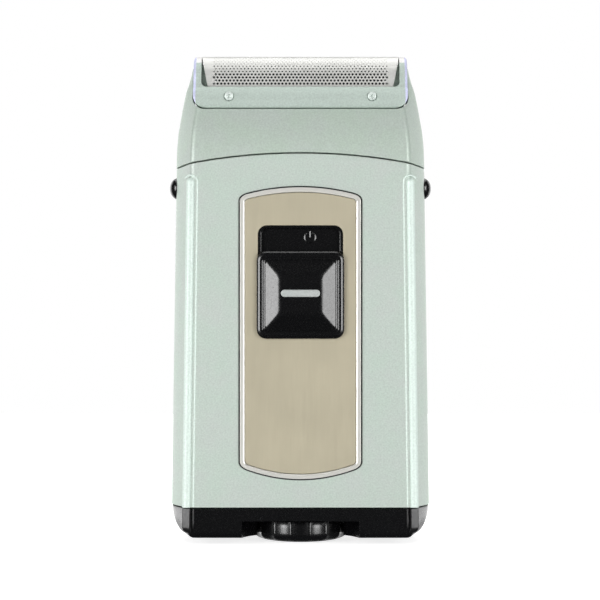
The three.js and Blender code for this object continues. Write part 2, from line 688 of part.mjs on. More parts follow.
// ---------------------------------------------------------------- leads: soft wires between the contacts
function lead(...points) {
  const path = new THREE.CatmullRomCurve3(points.map((p) => new THREE.Vector3(...p)), false, 'centripetal');
  return wire(path, 0.55, 16);
}

// ---------------------------------------------------------------- assembly
const shaver = new THREE.Group();

function add(name, manifold, material) {
  const mesh = new THREE.Mesh(geometryOf(manifold), material());
  mesh.name = name;
  shaver.add(mesh);
  return mesh;
}

const SIDES = { left: -1, right: 1 };

add('front_shell', frontShell(), FINISH.silver);
add('rear_shell', rearShell(), FINISH.silver);
for (const [place, z] of Object.entries(SCREW_HEIGHTS)) {
  const screw = add(`rear_screw_${place}`, crossScrew(2.3, 0.9, 0.8, 3.6), FINISH.steel);
  screw.rotation.x = -Math.PI / 2;
  screw.position.set(0, 12.5, z);
}

add('plate_bezel', without(
  slabY(plateOutline(0), BEZEL_FACE + 0.45, SEAT_FLOOR - 0.1).add(slabY(plateOutline(0.4), BEZEL_FACE, BEZEL_FACE + 0.45)),
  slabY(plateOutline(BEZEL_WIDTH), -20, 0),
), FINISH.chrome);
add('face_plate', slabY(plateOutline(BEZEL_WIDTH + 0.12), PLATE_FACE, SEAT_FLOOR - 0.1)
  .subtract(slabY(recessOutline(0), -20, 0)), FINISH.gold);

add('switch_tray', switchTray(), FINISH.black);
add('power_slider', powerSlider(), FINISH.black);
add('slider_bar', slabY(roundedRect(BAR.halfW, BAR.z - BAR.halfH, BAR.z + BAR.halfH, BAR.halfH - 0.02),
  SLIDER.top - 0.1, SLIDER.top + 0.5), FINISH.light);
add('slider_carrier', block(-7, 7, -11, -9.7, SLIDER.z - 7.5, SLIDER.z + 7.5)
  .subtract(block(-2.6, 2.6, -12, -9, SLIDER.z - 3.4, SLIDER.z + 3.4)), FINISH.nylon);
add('switch_bridge_contact', block(-6, 6, -9.25, -8.95, SLIDER.z + 1, SLIDER.z + 3), FINISH.brass);
add('switch_board', block(-9, 9, -8.2, -7.2, 46, 66.4), FINISH.label);
for (const [name, side] of Object.entries(SIDES)) {
  add(`switch_contact_${name}`, block(side < 0 ? -6.2 : 3, side < 0 ? -3 : 6.2, -8.75, -8.4, 60.8, 65.8), FINISH.brass);
}

add('chassis', chassis(), FINISH.grey);
add('top_deck', topDeck(), FINISH.grey);

add('battery_left', cell(-1), FINISH.label);
add('battery_right', cell(1), FINISH.label);
const cellTop = CELL.bottom + CELL.length;
add('battery_contact_positive', union(
  block(-11, -4.2, -2, 3.4, cellTop + 0.3, cellTop + 0.7),
  block(-11, -10.5, -2, 3.4, cellTop + 0.3, cellTop + 1.6),
), FINISH.steel);
add('battery_contact_negative', block(4, 11.4, -3, 4.2, cellTop + 1.2, cellTop + 1.6), FINISH.steel);
add('battery_spring', coil([CELL.x, CELL.y, cellTop + 0.28], [CELL.x, CELL.y, cellTop + 0.95], 2.4, 0.14, 2), FINISH.steel);

add('motor_end_bell', column(roundedRect(10, -7.4, 7.4, 5), 67, 69.1).subtract(rod('z', 1.3, 60, 80, 0, 0, 16)), FINISH.nylon);
add('motor_can', motorCan(), FINISH.steel);
add('motor_bearing', rod('z', 2.95, 83.7, 85.2, 0, 0, 20).subtract(rod('z', 1.06, 80, 90, 0, 0, 24)), FINISH.brass);
for (const [name, side] of Object.entries(SIDES)) {
  add(`motor_terminal_${name}`, block(side * 7 - 1, side * 7 + 1, -9.6, -7.6, 67.6, 68), FINISH.brass);
}
add('rotor_shaft', rod('z', 1, 84.3, 89.8, 0, 0, 24), FINISH.steel);
add('eccentric', eccentric(), FINISH.nylon);

add('drive_bridge', driveBridge(), FINISH.nylon);
add('drive_stem', turned([[0, 95.2], [1.15, 95.2], [1.15, 95.9], [1.9, 95.9], [1.9, 101.2], [0, 101.2]], 20), FINISH.steel);
add('cutter_spring', coil([0, 0, 96.3], [0, 0, 100.6], 2.7, 0.25, 4), FINISH.steel);
add('cutter_holder', cutterHolder(), FINISH.black);
add('cutter_blades', cutterBlades(), FINISH.steel);

add('head_shell', headShell(), FINISH.headSilver);
add('foil_frame', foilFrame(), FINISH.headSilver);
add('shaving_foil', shavingFoil(), FINISH.steel);
for (const [name, side] of Object.entries(SIDES)) {
  const screw = add(`foil_screw_${name}`, crossScrew(FOIL_SCREW.r, 0.5, 0.6, 1.5), FINISH.steel);
  screw.rotation.x = Math.PI / 2;
  screw.position.set(side * FOIL_SCREW.x, -8.6, FOIL_SCREW.z);
  add(`release_button_${name}`, releaseButton(side), FINISH.black);
  add(`release_spring_${name}`, coil([side * 18.6, 0, BUTTON_Z], [side * 23.7, 0, BUTTON_Z], 1.4, 0.2, 4), FINISH.steel);
}

add('battery_cap', batteryCap(), FINISH.black);
add('cap_gasket', bodyColumn(2, 8.75, 9.75).subtract(bodyColumn(2.45, 0, 20)), FINISH.rubber);
add('cap_bridge_contact', union(
  block(-12, 12, -4, 4, 7.1, 7.5).subtract(rod('z', 2.7, 0, 20, 0, 0)),
  block(6.8, 8.4, -1.5, 1.5, 7.3, 12.9),
), FINISH.steel);
add('cap_spring', coil([-CELL.x, 0, 7.8], [-CELL.x, 0, 12.7], 2.3, 0.25, 4), FINISH.steel);
add('lock_knob', lockKnob(), FINISH.black);
add('lock_shaft', lockShaft(), FINISH.steel);

add('lead_positive', lead([-9, -2.7, 64.6], [-9.9, -5.2, 64.6], [-10.3, -7.6, 64.7], [-9.6, -8.6, 65.7], [-8.3, -8.7, 66.7]),
  FINISH.red);
add('lead_motor', lead([-7.4, -9.1, 62.6], [-9.8, -9.2, 62.4], [-12, -9.1, 64.5], [-12, -9, 68], [-9, -8.9, 70.6],
  [0, -8.9, 71.4], [6, -8.9, 70.6], [7, -8.8, 68.75]), FINISH.red);
add('lead_negative', lead([7.5, -9.1, 63.4], [9.9, -8.9, 63.9], [10.4, -6.9, 64.7], [9.4, -4.6, 64.9], [9, -3.6, 64.95]),
  FINISH.rubber);

export default shaver;
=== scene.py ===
import functools
import math

import bmesh
import bpy
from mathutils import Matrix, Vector


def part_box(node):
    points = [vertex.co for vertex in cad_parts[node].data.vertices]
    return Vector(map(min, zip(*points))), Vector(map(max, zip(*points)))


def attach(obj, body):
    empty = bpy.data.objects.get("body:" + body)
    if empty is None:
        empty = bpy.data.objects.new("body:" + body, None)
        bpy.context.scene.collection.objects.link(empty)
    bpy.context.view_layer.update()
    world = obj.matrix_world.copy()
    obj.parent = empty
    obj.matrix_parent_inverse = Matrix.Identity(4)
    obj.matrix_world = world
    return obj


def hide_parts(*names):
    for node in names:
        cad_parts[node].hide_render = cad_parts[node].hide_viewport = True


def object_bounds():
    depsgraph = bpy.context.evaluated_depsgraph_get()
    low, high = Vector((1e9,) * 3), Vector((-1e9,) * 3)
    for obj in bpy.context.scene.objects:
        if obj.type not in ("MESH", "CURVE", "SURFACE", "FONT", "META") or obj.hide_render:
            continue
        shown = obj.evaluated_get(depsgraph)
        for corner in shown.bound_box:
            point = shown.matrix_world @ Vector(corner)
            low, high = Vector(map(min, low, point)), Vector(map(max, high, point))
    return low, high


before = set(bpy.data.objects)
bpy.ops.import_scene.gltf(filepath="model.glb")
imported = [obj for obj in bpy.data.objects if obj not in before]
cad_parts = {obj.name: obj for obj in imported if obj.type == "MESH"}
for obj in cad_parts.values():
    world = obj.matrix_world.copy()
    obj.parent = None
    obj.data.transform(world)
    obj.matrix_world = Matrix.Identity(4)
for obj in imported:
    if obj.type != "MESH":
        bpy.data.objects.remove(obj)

MM = 0.001
cad_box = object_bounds()
scene = bpy.context.scene


def middle_of(node):
    """The middle of a CAD node's box, in millimetres."""
    return [(low / MM + high / MM) / 2 for low, high in zip(*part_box(node))]


# ---- camera
camera = bpy.data.objects.new("camera", bpy.data.cameras.new("camera"))
EYE_X, EYE_DISTANCE, EYE_DROP = -0.0001, 0.55, 0.0005
camera.data.sensor_width = 36
camera.data.lens = 141.3
camera.location = (EYE_X, -EYE_DISTANCE, (cad_box[0].z + cad_box[1].z) / 2 - EYE_DROP)
camera.rotation_euler = (math.pi / 2, 0, 0)
scene.collection.objects.link(camera)
scene.camera = camera

# ---- dimensions, as in the CAD
WALL = 1.8
PARTING = 0.1
BODY_HALF_W, BODY_HALF_D, FRONT_EDGE, BODY_TAPER, BODY_BOTTOM = 30.05, 13.5, 0.864, 0.0148, 8.45
SEAM_TOP, SEAM_RADIUS, SEAM_DROP, SEAM_LEVEL = 89.3, 135, 0.15, 88
RIB_RADIUS, RIB_TOP, RIB_Y = 1.0, 82.65, -13.0
LINE_REACH, LINE_RADIUS, LINE_OUT = 1.55, 0.22, 0.36
CAP_BOTTOM, CAP_TOP, CAP_STEP, CAP_CORNER, CAP_UNDER = 1.4, 8.15, 0.2, 6.8, 1.3
CAP_WALL_IN, CAP_TONGUE_TOP, CAP_TONGUE_IN = 2.6, 10.5, 3.8
KNOB_RADIUS, KNOB_TOP, KNOB_FLUTES, FLUTE_DEPTH = 10.9, 5.0, 16, 0.5
POCKET_RADIUS, POCKET_TOP, GRIP_RADIUS, GRIP_Y, SHAFT_BORE = 11.4, 5.3, 13.5, 14.7, 2.1
PLATE_HALF_W, PLATE_LOW, PLATE_HIGH, PLATE_SIDE_LOW, PLATE_SIDE_HIGH = 13.76, 15.0, 81.4, 17.8, 79.4
PLATE_FACE, BEZEL_FACE, SEAT_FLOOR, BEZEL_WIDTH, PLATE_GAP = -13.85, -14.05, -12.6, 1.05, 0.36
RECESS_HALF_W, RECESS_LOW, RECESS_HIGH, RECESS_CORNER, TRAY_FLOOR = 9.7, 47.4, 72.75, 2.0, -12.7
SLIDER_Z, SLIDER_HALF, SLIDER_BACK, SLIDER_RIM, SLIDER_TOP = 56.9, 9.98, -14.05, -15.0, -16.4
BAR_Z, BAR_HALF_W, BAR_HALF_H = 57.27, 4.45, 0.83
FRAME_HALF_W, FRAME_BOTTOM, FRAME_FRONT_TOP, FRAME_TOP, WINDOW_HALF_W = 24.75, 99.8, 104.9, 112.4, 22.9
FRAME_ROUND, FRAME_CORNER, FRAME_HALF_D, CROWN_RADIUS = 0.75, 3.0, 9.4, 6.7
WEB_INNER, WEB_HALF_D, WEB_LOW, WEB_HIGH = 20.8, 3.4, 104, 110.4
FOIL_RADIUS, FOIL_CENTRE, FOIL_SHEET, FOIL_FIELD, FOIL_END, FOIL_LEAN = 5.9, 106.6, 0.07, 20.42, 21.4, 1.485
FOIL_PITCH, FOIL_COLUMNS, FOIL_ROWS, MARGIN_STEPS, MARGIN_STEP = 0.832, 24, 14, 4, 0.4
CORE_RADIUS, CORE_FOOT, CORE_END = 4.5, 105.1, 19.5
BUTTON_Z, BUTTON_RUN, BUTTON_HALF_H, BUTTON_GAP = 81.65, 1.9, 2.45, 0.25
HEAD_TOP, HEAD_SEAM_HALF_W, WELL_HALF_W, WELL_HALF_D = 109.9, 28.9, 22.2, 6.15
BEYOND = 20  # how far a cutting tool reaches past a piece


# ---- mesh helpers
class Skin:
    """Points and faces of one piece, in millimetres."""

    def __init__(self):
        self.points = []
        self.faces = []

    def row(self, points):
        start = len(self.points)
        self.points += points
        return start

    def loft(self, rows, loop=True, ring=False):
        """Faces between rows. loop closes each row and ring joins the last row to the first; open ends are filled."""
        count = len(rows[0])
        starts = [self.row(list(r)) for r in rows]
        following = starts[1:] + ([starts[0]] if ring else [])
        for a, b in zip(starts, following):
            for i in range(count if loop else count - 1):
                j = (i + 1) % count
                self.faces.append((a + i, a + j, b + j, b + i))
        if not ring:
            self.faces.append(tuple(range(starts[0], starts[0] + count)))
            self.faces.append(tuple(range(starts[-1], starts[-1] + count)))
        elif not loop:
            self.faces.append(tuple(starts))
            self.faces.append(tuple(s + count - 1 for s in starts))
        return self

    def piece(self, name):
        mesh = bpy.data.meshes.new(name)
        mesh.from_pydata([(x * MM, y * MM, z * MM) for x, y, z in self.points], [], self.faces)
        edit = bmesh.new()
        edit.from_mesh(mesh)
        bmesh.ops.remove_doubles(edit, verts=edit.verts, dist=1e-6)
        bmesh.ops.dissolve_degenerate(edit, edges=edit.edges, dist=1e-7)
        bmesh.ops.recalc_face_normals(edit, faces=edit.faces)
        if edit.calc_volume(signed=True) < 0:
            bmesh.ops.reverse_faces(edit, faces=edit.faces)
        edit.to_mesh(mesh)
        edit.free()
        obj = bpy.data.objects.new(name, mesh)
        scene.collection.objects.link(obj)
        return obj


def bake(obj):
    """Applies the modifiers of obj to its mesh."""
    bpy.context.view_layer.update()
    mesh = bpy.data.meshes.new_from_object(obj.evaluated_get(bpy.context.evaluated_depsgraph_get()))
    obj.modifiers.clear()
    spent = obj.data
    obj.data = mesh
    bpy.data.meshes.remove(spent)


def carve(obj, *tools):
    """Cuts each tool out of obj."""
    for skin in tools:
        tool = skin.piece("tool")
        step = obj.modifiers.new("carve", "BOOLEAN")
        step.operation = "DIFFERENCE"
        step.solver = "EXACT"
        step.object = tool
        bake(obj)
        bpy.data.objects.remove(tool)


def join(obj, other):
    """Joins the mesh of other into obj."""
    edit = bmesh.new()
    edit.from_mesh(obj.data)
    edit.from_mesh(other.data)
    bpy.data.objects.remove(other)
    edit.to_mesh(obj.data)
    edit.free()


def soften(obj, width, angle=35, segments=2):
    """Rounds the edges sharper than angle."""
    step = obj.modifiers.new("edges", "BEVEL")
    step.width = width * MM
    step.segments = segments
    step.limit_method = "ANGLE"
    step.angle_limit = math.radians(angle)
    step.use_clamp_overlap = True
    bake(obj)


def settle(obj, body, slot, *nodes, paint=None, angle=32):
    """Shading, material and place in the frame of one finished piece. The material is the slot's own, or paint."""
    obj.data.materials.clear()
    obj.data.materials.append(look[paint or slot])
    obj.data.shade_smooth()
    obj.data.set_sharp_from_angle(angle=math.radians(angle))
    even = obj.modifiers.new("even", "WEIGHTED_NORMAL")
    even.keep_sharp = True
    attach(obj, body)
    if nodes:
        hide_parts(*nodes)


def arc(radius, count):
    """(inset, drop) along a quarter round, from the wall to the face."""
    turns = [math.pi / 2 * k / count for k in range(count + 1)]
    return [(radius * (1 - math.cos(a)), radius * (1 - math.sin(a))) for a in turns]


def quad(start, control, end, count):
    """Points of a quadratic curve, without its start."""
    shares = [k / count for k in range(1, count + 1)]
    return [
        tuple((1 - t) ** 2 * a + 2 * t * (1 - t) * b + t * t * c for a, b, c in zip(start, control, end))
        for t in shares
    ]


def turned(centre, radius, first, sweep, count):
    """Points of an arc in a plane, in count steps from the angle first, in degrees."""
    angles = [math.radians(first + sweep * k / count) for k in range(count + 1)]
    return [(centre[0] + radius * math.cos(a), centre[1] + radius * math.sin(a)) for a in angles]


def rounded_rect(half_w, low, high, corner, count=8):
    """Points of a rounded rectangle in XZ, anticlockwise from its lower left corner."""
    middles = [
        (-half_w + corner, low + corner, 180), (half_w - corner, low + corner, 270),
        (half_w - corner, high - corner, 0), (-half_w + corner, high - corner, 90),
    ]
    return [p for x, z, first in middles for p in turned((x, z), corner, first, 90, count)]


def box_row(half_x, half_y, z):
    return [(-half_x, -half_y, z), (half_x, -half_y, z), (half_x, half_y, z), (-half_x, half_y, z)]


def slab_y(outline, levels, ring=False):
    """A slab lofted along Y. outline(inset) gives XZ points; levels are (inset, y), round a ring's section."""
    return Skin().loft([[(x, y, z) for x, z in outline(inset)] for inset, y in levels], ring=ring)


def box_skin(x0, x1, y0, y1, z0, z1, skin=None):
    corners = [(x0, y0), (x1, y0), (x1, y1), (x0, y1)]
    return (skin or Skin()).loft([[(x, y, z) for x, y in corners] for z in (z0, z1)])


def lathe(profile, place, segments=48, skin=None):
    """profile points (radius, height), turned; place(x, y, height) puts them in the frame."""
    turns = [2 * math.pi * k / segments for k in range(segments)]
    return (skin or Skin()).loft([[place(r * math.cos(a), r * math.sin(a), h) for a in turns] for r, h in profile])


def headings(path):
    """Each point of a path with the direction there."""
    path = [Vector(p) for p in path]
    last = len(path) - 1
    return [(p, (path[min(i + 1, last)] - path[max(i - 1, 0)]).normalized()) for i, p in enumerate(path)]


def sweep(path, section, across, skin):
    """A section of (sideways, outwards) points carried along a path whose plane has the normal across."""
    rows = []
    for p, along in headings(path):
        out = -across.cross(along).normalized()
        rows.append([tuple(p + across * u + out * v) for u, v in section])
    return skin.loft(rows)


def tube(path, radius, sides=12, across=Vector((0, 1, 0)), skin=None, round_ends=False):
    """A round tube along a path whose plane has the normal across."""
    rows = []
    for i, (p, along) in enumerate(headings(path)):
        side = across.cross(along).normalized()
        ring = [(p, side * a + along.cross(side) * b, along) for a, b in turned((0, 0), 1, 0, 360, sides)[:-1]]
        tilts = [0]
        if round_ends:
            tilts = [-80, -60, -40, -20][: 4 * (i == 0)] + tilts + [20, 40, 60, 80][: 4 * (i == len(path) - 1)]
        for t in (math.radians(tilt) for tilt in tilts):
            rows.append([tuple(q + n * radius * math.cos(t) + f * radius * math.sin(t)) for q, n, f in ring])
    return (skin or Skin()).loft(rows)


# ---- materials
class Paint:
    """A principled material built from named procedural layers. Scales are in 1/m of the object's own space."""

    def __init__(self, name, **constants):
        self.material = bpy.data.materials.new(name)
        self.material.use_nodes = True
        self.tree = self.material.node_tree
        self.tree.nodes.clear()
        self.shader = self.tree.nodes.new("ShaderNodeBsdfPrincipled")
        output = self.tree.nodes.new("ShaderNodeOutputMaterial")
        self.tree.links.new(self.shader.outputs[0], output.inputs["Surface"])
        self.place = self.tree.nodes.new("ShaderNodeTexCoord").outputs["Object"]
        for key, value in constants.items():
            self.shader.inputs[key.replace("_", " ").title().replace("Ior", "IOR")].default_value = value

    def feed(self, socket, value):
        """Links a socket to another's output, or sets its value."""
        if hasattr(value, "is_linked"):
            self.tree.links.new(value, socket)
        else:
            socket.default_value = value

    def node(self, kind, **inputs):
        made = self.tree.nodes.new(kind)
        for key, value in inputs.items():
            self.feed(made.inputs[key.replace("_", " ").title()], value)
        return made

    def along(self, axis):
        """The distance from the middle plane, along one axis of the object."""
        apart = self.node("ShaderNodeSeparateXYZ", vector=self.place)
        size = self.tree.nodes.new("ShaderNodeMath")
        size.operation = "ABSOLUTE"
        self.tree.links.new(apart.outputs["XYZ".index(axis)], size.inputs[0])
        return size.outputs[0]

    def noise(self, scale, detail=2.0, rough=0.5, stretch=None):
        where = self.place
        if stretch:
            where = self.node("ShaderNodeMapping", vector=self.place, scale=stretch).outputs[0]
        made = self.node("ShaderNodeTexNoise", vector=where, scale=scale, detail=detail, roughness=rough)
        return made.outputs["Fac"]

    def cells(self, scale):
        return self.node("ShaderNodeTexVoronoi", vector=self.place, scale=scale).outputs["Color"]

    def ramp(self, factor, *stops):
        made = self.node("ShaderNodeValToRGB", fac=factor)
        elements = made.color_ramp.elements
        while len(elements) < len(stops):
            elements.new(0.5)
        for element, (position, colour) in zip(elements, stops):
            element.position = position
            element.color = (*colour, 1)
        return made.outputs["Color"]

    def blend(self, factor, first, second, kind="MIX"):
        made = self.tree.nodes.new("ShaderNodeMix")
        made.data_type = "RGBA"
        made.blend_type = kind
        for i, value in ((0, factor), (6, first), (7, second)):
            self.feed(made.inputs[i], (*value, 1) if isinstance(value, tuple) else value)
        return made.outputs[2]

    def remap(self, value, low, high, start=0.3, end=0.7):
        made = self.tree.nodes.new("ShaderNodeMapRange")
        self.tree.links.new(value, made.inputs[0])
        for i, number in enumerate((start, end, low, high)):
            made.inputs[i + 1].default_value = number
        return made.outputs[0]

    def colour(self, source):
        self.tree.links.new(source, self.shader.inputs["Base Color"])

    def rough(self, source):
        self.tree.links.new(source, self.shader.inputs["Roughness"])

    def bump(self, *layers):
        """layers are (height, depth in mm, strength)."""
        below = None
        for height, depth, strength in layers:
            made = self.tree.nodes.new("ShaderNodeBump")
            made.inputs["Strength"].default_value = strength
            made.inputs["Distance"].default_value = depth * MM
            self.tree.links.new(height, made.inputs["Height"])
            if below:
                self.tree.links.new(below, made.inputs["Normal"])
            below = made.outputs[0]
        self.tree.links.new(below, self.shader.inputs["Normal"])
        if self.shader.inputs["Coat Weight"].default_value:
            self.tree.links.new(below, self.shader.inputs["Coat Normal"])


def shade(colour, factor):
    return tuple(c * factor for c in colour)


def grey(level):
    return (level,) * 3


def metallic_paint(name, base, warm, metallic=0.5, painted_highlights=()):
    """Silver paint: fine flake over a faint cloudy drift between a green and a grey silver.

    Each band is (axis, start, end, tint), a painted highlight: from start to end, in mm of distance from the middle,
    the paint turns to the tint.
    """
    paint = Paint(name, metallic=metallic, coat_weight=0.08, coat_roughness=0.25, specular_ior_level=0.4)
    drift = paint.ramp(paint.noise(140, 3, 0.55), (0.35, base), (0.65, warm))
    # the bands paint highlights over the drift: each one turns the paint to its tint
    for axis, start, end, tint in painted_highlights:
        drift = paint.blend(paint.remap(paint.along(axis), 0, 1, start * MM, end * MM), drift, tint)
    flake = paint.ramp(paint.noise(2600, 2, 0.6), (0.3, grey(0.9)), (0.7, grey(1.07)))
    sparkle = paint.cells(3800)
    paint.colour(paint.blend(1.0, drift, flake, "MULTIPLY"))
    paint.rough(paint.remap(sparkle, 0.52, 0.64, 0, 1))
    paint.bump((paint.noise(3000, 2, 0.6), 0.012, 0.35), (paint.noise(420, 2), 0.01, 0.15))
    return paint.material


def satin_metal(name, base, roughness, stretch=(1, 1, 1), metallic=1.0, streak=0.05):
    """Bare or anodised metal with a fine directional finish."""
    metal = Paint(name, metallic=metallic)
    lines = metal.noise(4000, 3, 0.6, stretch)
    cloud = metal.noise(90, 2)
    tone = metal.ramp(lines, (0.3, shade(base, 1 - streak)), (0.7, shade(base, 1 + streak)))
    haze = metal.ramp(cloud, (0.35, grey(0.97)), (0.65, grey(1.03)))
    metal.colour(metal.blend(1.0, tone, haze, "MULTIPLY"))
    metal.rough(metal.remap(lines, roughness * 0.85, roughness * 1.2))
    metal.bump((lines, 0.004, 0.4))
    return metal.material


def moulded(name, base, roughness, grain=1800, depth=0.01, spark=0.0, coat=0.0, specular=0.5, drift=0.12):
    """Moulded plastic: fine spark grain, slight flow variation and, where asked, light specks in the texture."""
    plastic = Paint(name, coat_weight=coat, coat_roughness=0.12, specular_ior_level=specular)
    streaks = plastic.noise(60, 3, 0.5, (1, 1, 0.4))
    flow = plastic.ramp(streaks, (0.3, shade(base, 1 - drift)), (0.7, shade(base, 1 + drift)))
    grains = plastic.noise(grain, 3, 0.65)
    if spark:
        specks = plastic.ramp(plastic.noise(grain * 1.7, 2, 0.8), (0.63, grey(0)), (0.78, grey(spark)))
        plastic.colour(plastic.blend(1.0, flow, specks, "ADD"))
    else:
        tone = plastic.ramp(grains, (0.3, grey(0.94)), (0.7, grey(1.05)))
        plastic.colour(plastic.blend(1.0, flow, tone, "MULTIPLY"))
    plastic.rough(plastic.remap(grains, roughness * 0.85, roughness * 1.2))
    plastic.bump((grains, depth, 0.5), (plastic.noise(160, 2), 0.015, 0.1))
    return plastic.material


def polished(name, base):
    """Chrome plate over moulded plastic: a slight waviness and fine wipe marks."""
    chrome = Paint(name, metallic=0.42)
    wave = chrome.noise(110, 2)
    wipes = chrome.noise(3000, 2, 0.5, (1, 1, 0.05))
    chrome.colour(chrome.ramp(wave, (0.3, shade(base, 0.96)), (0.7, base)))
    chrome.rough(chrome.remap(wipes, 0.1, 0.17))
    chrome.bump((wave, 0.05, 0.12))
    return chrome.material


SILVER = (0.57, 0.662, 0.594)
SILVER_WARM = (0.588, 0.648, 0.604)
HEAD_SILVER = (0.533, 0.627, 0.546)
HEAD_WARM = (0.547, 0.617, 0.565)
FRAME_SILVER = (0.568, 0.656, 0.60)
# the body's silver made lighter for the ribs: a painted highlight for the light their beads catch
RIB_HIGHLIGHT_SILVER = (0.695, 0.795, 0.74)
# painted highlights on the foil frame: cream for the white band that the top light makes over the crown
EDGE_HIGHLIGHT_LILAC, CROWN_HIGHLIGHT_CREAM = (0.72, 0.74, 0.98), (0.93, 0.92, 0.9)
# lilac for the line of light down each rounded end edge of the frame, a painted highlight, then silver again at the
# very edge
FRAME_PAINTED_HIGHLIGHTS = (("Z", 110.65, 110.85, CROWN_HIGHLIGHT_CREAM), ("X", 24.0, 24.25, EDGE_HIGHLIGHT_LILAC), ("X", 24.68, 24.72, FRAME_SILVER))
BLACK, NEAR_BLACK = (0.0012, 0.0012, 0.0016), (0.002, 0.002, 0.0025)
CHAMPAGNE = (0.506, 0.46, 0.34)
look = {
    "body_paint": metallic_paint("silver_paint", SILVER, SILVER_WARM),
    "head_paint": metallic_paint("head_silver_paint", HEAD_SILVER, HEAD_WARM),
    "rib_paint": metallic_paint("rib_silver_paint_painted_highlight", RIB_HIGHLIGHT_SILVER, shade(RIB_HIGHLIGHT_SILVER, 0.98), metallic=0.3),
    "frame_paint": metallic_paint(
        "frame_silver_paint_with_painted_highlights", FRAME_SILVER, shade(FRAME_SILVER, 1.02), metallic=0.45, painted_highlights=FRAME_PAINTED_HIGHLIGHTS,
    ),
    "screw_satin": satin_metal("satin_nickel", (0.7, 0.77, 0.73), 0.5, metallic=0.35),
    # steel darkened almost to black: painted shade, so the blades under the foil read dark through its holes
    "blade_steel_painted_shade": satin_metal("blade_steel_painted_shade", (0.09, 0.09, 0.096), 0.4),
    "black_satin": moulded("black_satin_plastic", NEAR_BLACK, 0.4, 2200, 0.012, specular=1.0),
    "gold_plate": satin_metal("champagne_anodised", CHAMPAGNE, 0.42, (1, 1, 0.04), metallic=0.35, streak=0.02),
    "chrome_trim": polished("chrome", (0.8, 0.79, 0.74)),
    "black_gloss": moulded("black_spark_plastic", BLACK, 0.25, 2200, 0.012, spark=0.008, specular=0.88),
    "bar_silver": metallic_paint("bar_silver_paint", (0.52, 0.56, 0.54), (0.54, 0.56, 0.55)),
    "foil_steel": satin_metal("etched_foil", (0.77, 0.77, 0.74), 0.38, (0.03, 1, 1), metallic=0.45, streak=0.02),
    "bright_steel": satin_metal("bright_steel", (0.6, 0.6, 0.59), 0.25),
    "brass": satin_metal("brass_strip", (0.62, 0.46, 0.18), 0.3),
    "nylon": moulded("natural_nylon", (0.8, 0.79, 0.74), 0.5, drift=0.03),
    "chassis_grey": moulded("grey_chassis_plastic", (0.13, 0.135, 0.14), 0.55),
    "rubber": moulded("black_rubber", (0.02, 0.02, 0.022), 0.8, 1200, 0.02),
    "cell_wrap": moulded("cell_sleeve", (0.06, 0.26, 0.17), 0.3, coat=0.5, drift=0.2),
    "board": moulded("board_laminate", (0.05, 0.19, 0.12), 0.45, 2500),
    "wire_red": moulded("red_insulation", (0.45, 0.03, 0.03), 0.4),
    "wire_black": moulded("black_insulation", (0.02, 0.02, 0.02), 0.4),
}


# ---- the body's outline
@functools.lru_cache(maxsize=None)
def half_section(inset=0.0):
    """Right half of the body's section in XY, from the middle of the front to the middle of the back."""
    w, d = BODY_HALF_W - inset, BODY_HALF_D - inset
    edge = BODY_HALF_W * FRONT_EDGE - 0.75 * inset
    corner = 1.1
    points = [((edge - corner) * k / 6, -d) for k in range(7)]
    for control, end, count in (
        ((edge, -d), (edge + 0.4, -d + corner), 8),
        ((w - 0.55, -0.42 * d), (w - 0.3, -0.3 * d), 10),
        ((w, -0.1 * d), (w, 0.08 * d), 8),
        ((w, 0.62 * d), (w - 3, 0.84 * d), 12),
        ((w - 5, d), (w - 9, d), 10),
    ):
        points += quad(points[-1], control, end, count)
    reach = w - 9
    return points + [(reach * (1 - k / 5), d) for k in range(1, 6)]


def at(points, index):
    """The point at an index with a fraction."""
    k = min(int(index), len(points) - 2)
    return tuple(a + (b - a) * (index - k) for a, b in zip(points[k], points[k + 1]))


def crossing(y):
    """The place along the half section, as an index with a fraction, where it passes y."""
    points = half_section()
    for k, ((_, low), (_, high)) in enumerate(zip(points, points[1:])):
        if low <= y <= high and high > low:
            return k + (y - low) / (high - low)


def body_half_w(z):
    return BODY_HALF_W - BODY_TAPER * (z - BODY_BOTTOM)


def seam_height(x):
    return SEAM_TOP - SEAM_RADIUS + math.sqrt(SEAM_RADIUS**2 - x * x)


EDGE_ROUND = 0.12
ROUNDING = [(0.0, EDGE_ROUND), (0.035, 0.035), (EDGE_ROUND, 0.0)]


# columns are (index along the half section, side, extra inset, fixed y or None)
def front_columns():
    first = crossing(-PARTING - EDGE_ROUND)
    half = [(float(k), 0.0, None) for k in range(int(first) + 1)]
    half += [(crossing(-PARTING - back), inset, -PARTING - back) for inset, back in ROUNDING]
    return [(i, -1, e, y) for i, e, y in reversed(half[1:])] + [(i, 1, e, y) for i, e, y in half]


def rear_columns():
    count = len(half_section())
    half = [(crossing(PARTING + back), inset, PARTING + back) for inset, back in reversed(ROUNDING)]
    half += [(float(k), 0.0, None) for k in range(int(crossing(PARTING + EDGE_ROUND)) + 1, count)]
    return [(i, 1, e, y) for i, e, y in half] + [(i, -1, e, y) for i, e, y in reversed(half[:-1])]


def ring_points(inset):
    """The whole section as (side, x, y), with x from the half section."""
    half = half_section(round(inset, 5))
    return [(1, x, y) for x, y in half] + [(-1, x, y) for x, y in half[-2:0:-1]]


def shell_rows(columns, rows):
    """rows are (inset, share of the height, offset, outer)."""
    made = []
    for inset, share, offset, outer in rows:
        row = []
        for index, side, extra, forced in columns:
            step = round(inset + (extra if outer else 0), 5)
            x, y = at(half_section(step), index)
            y = y if forced is None else forced
            scale = lambda z: (body_half_w(z) - step) / (BODY_HALF_W - step)
            top = seam_height(x * scale(SEAM_LEVEL)) - SEAM_DROP
            z = BODY_BOTTOM + (top - BODY_BOTTOM) * share + offset
            row.append((side * x * scale(z), y, z))
        made.append(row)
    return made


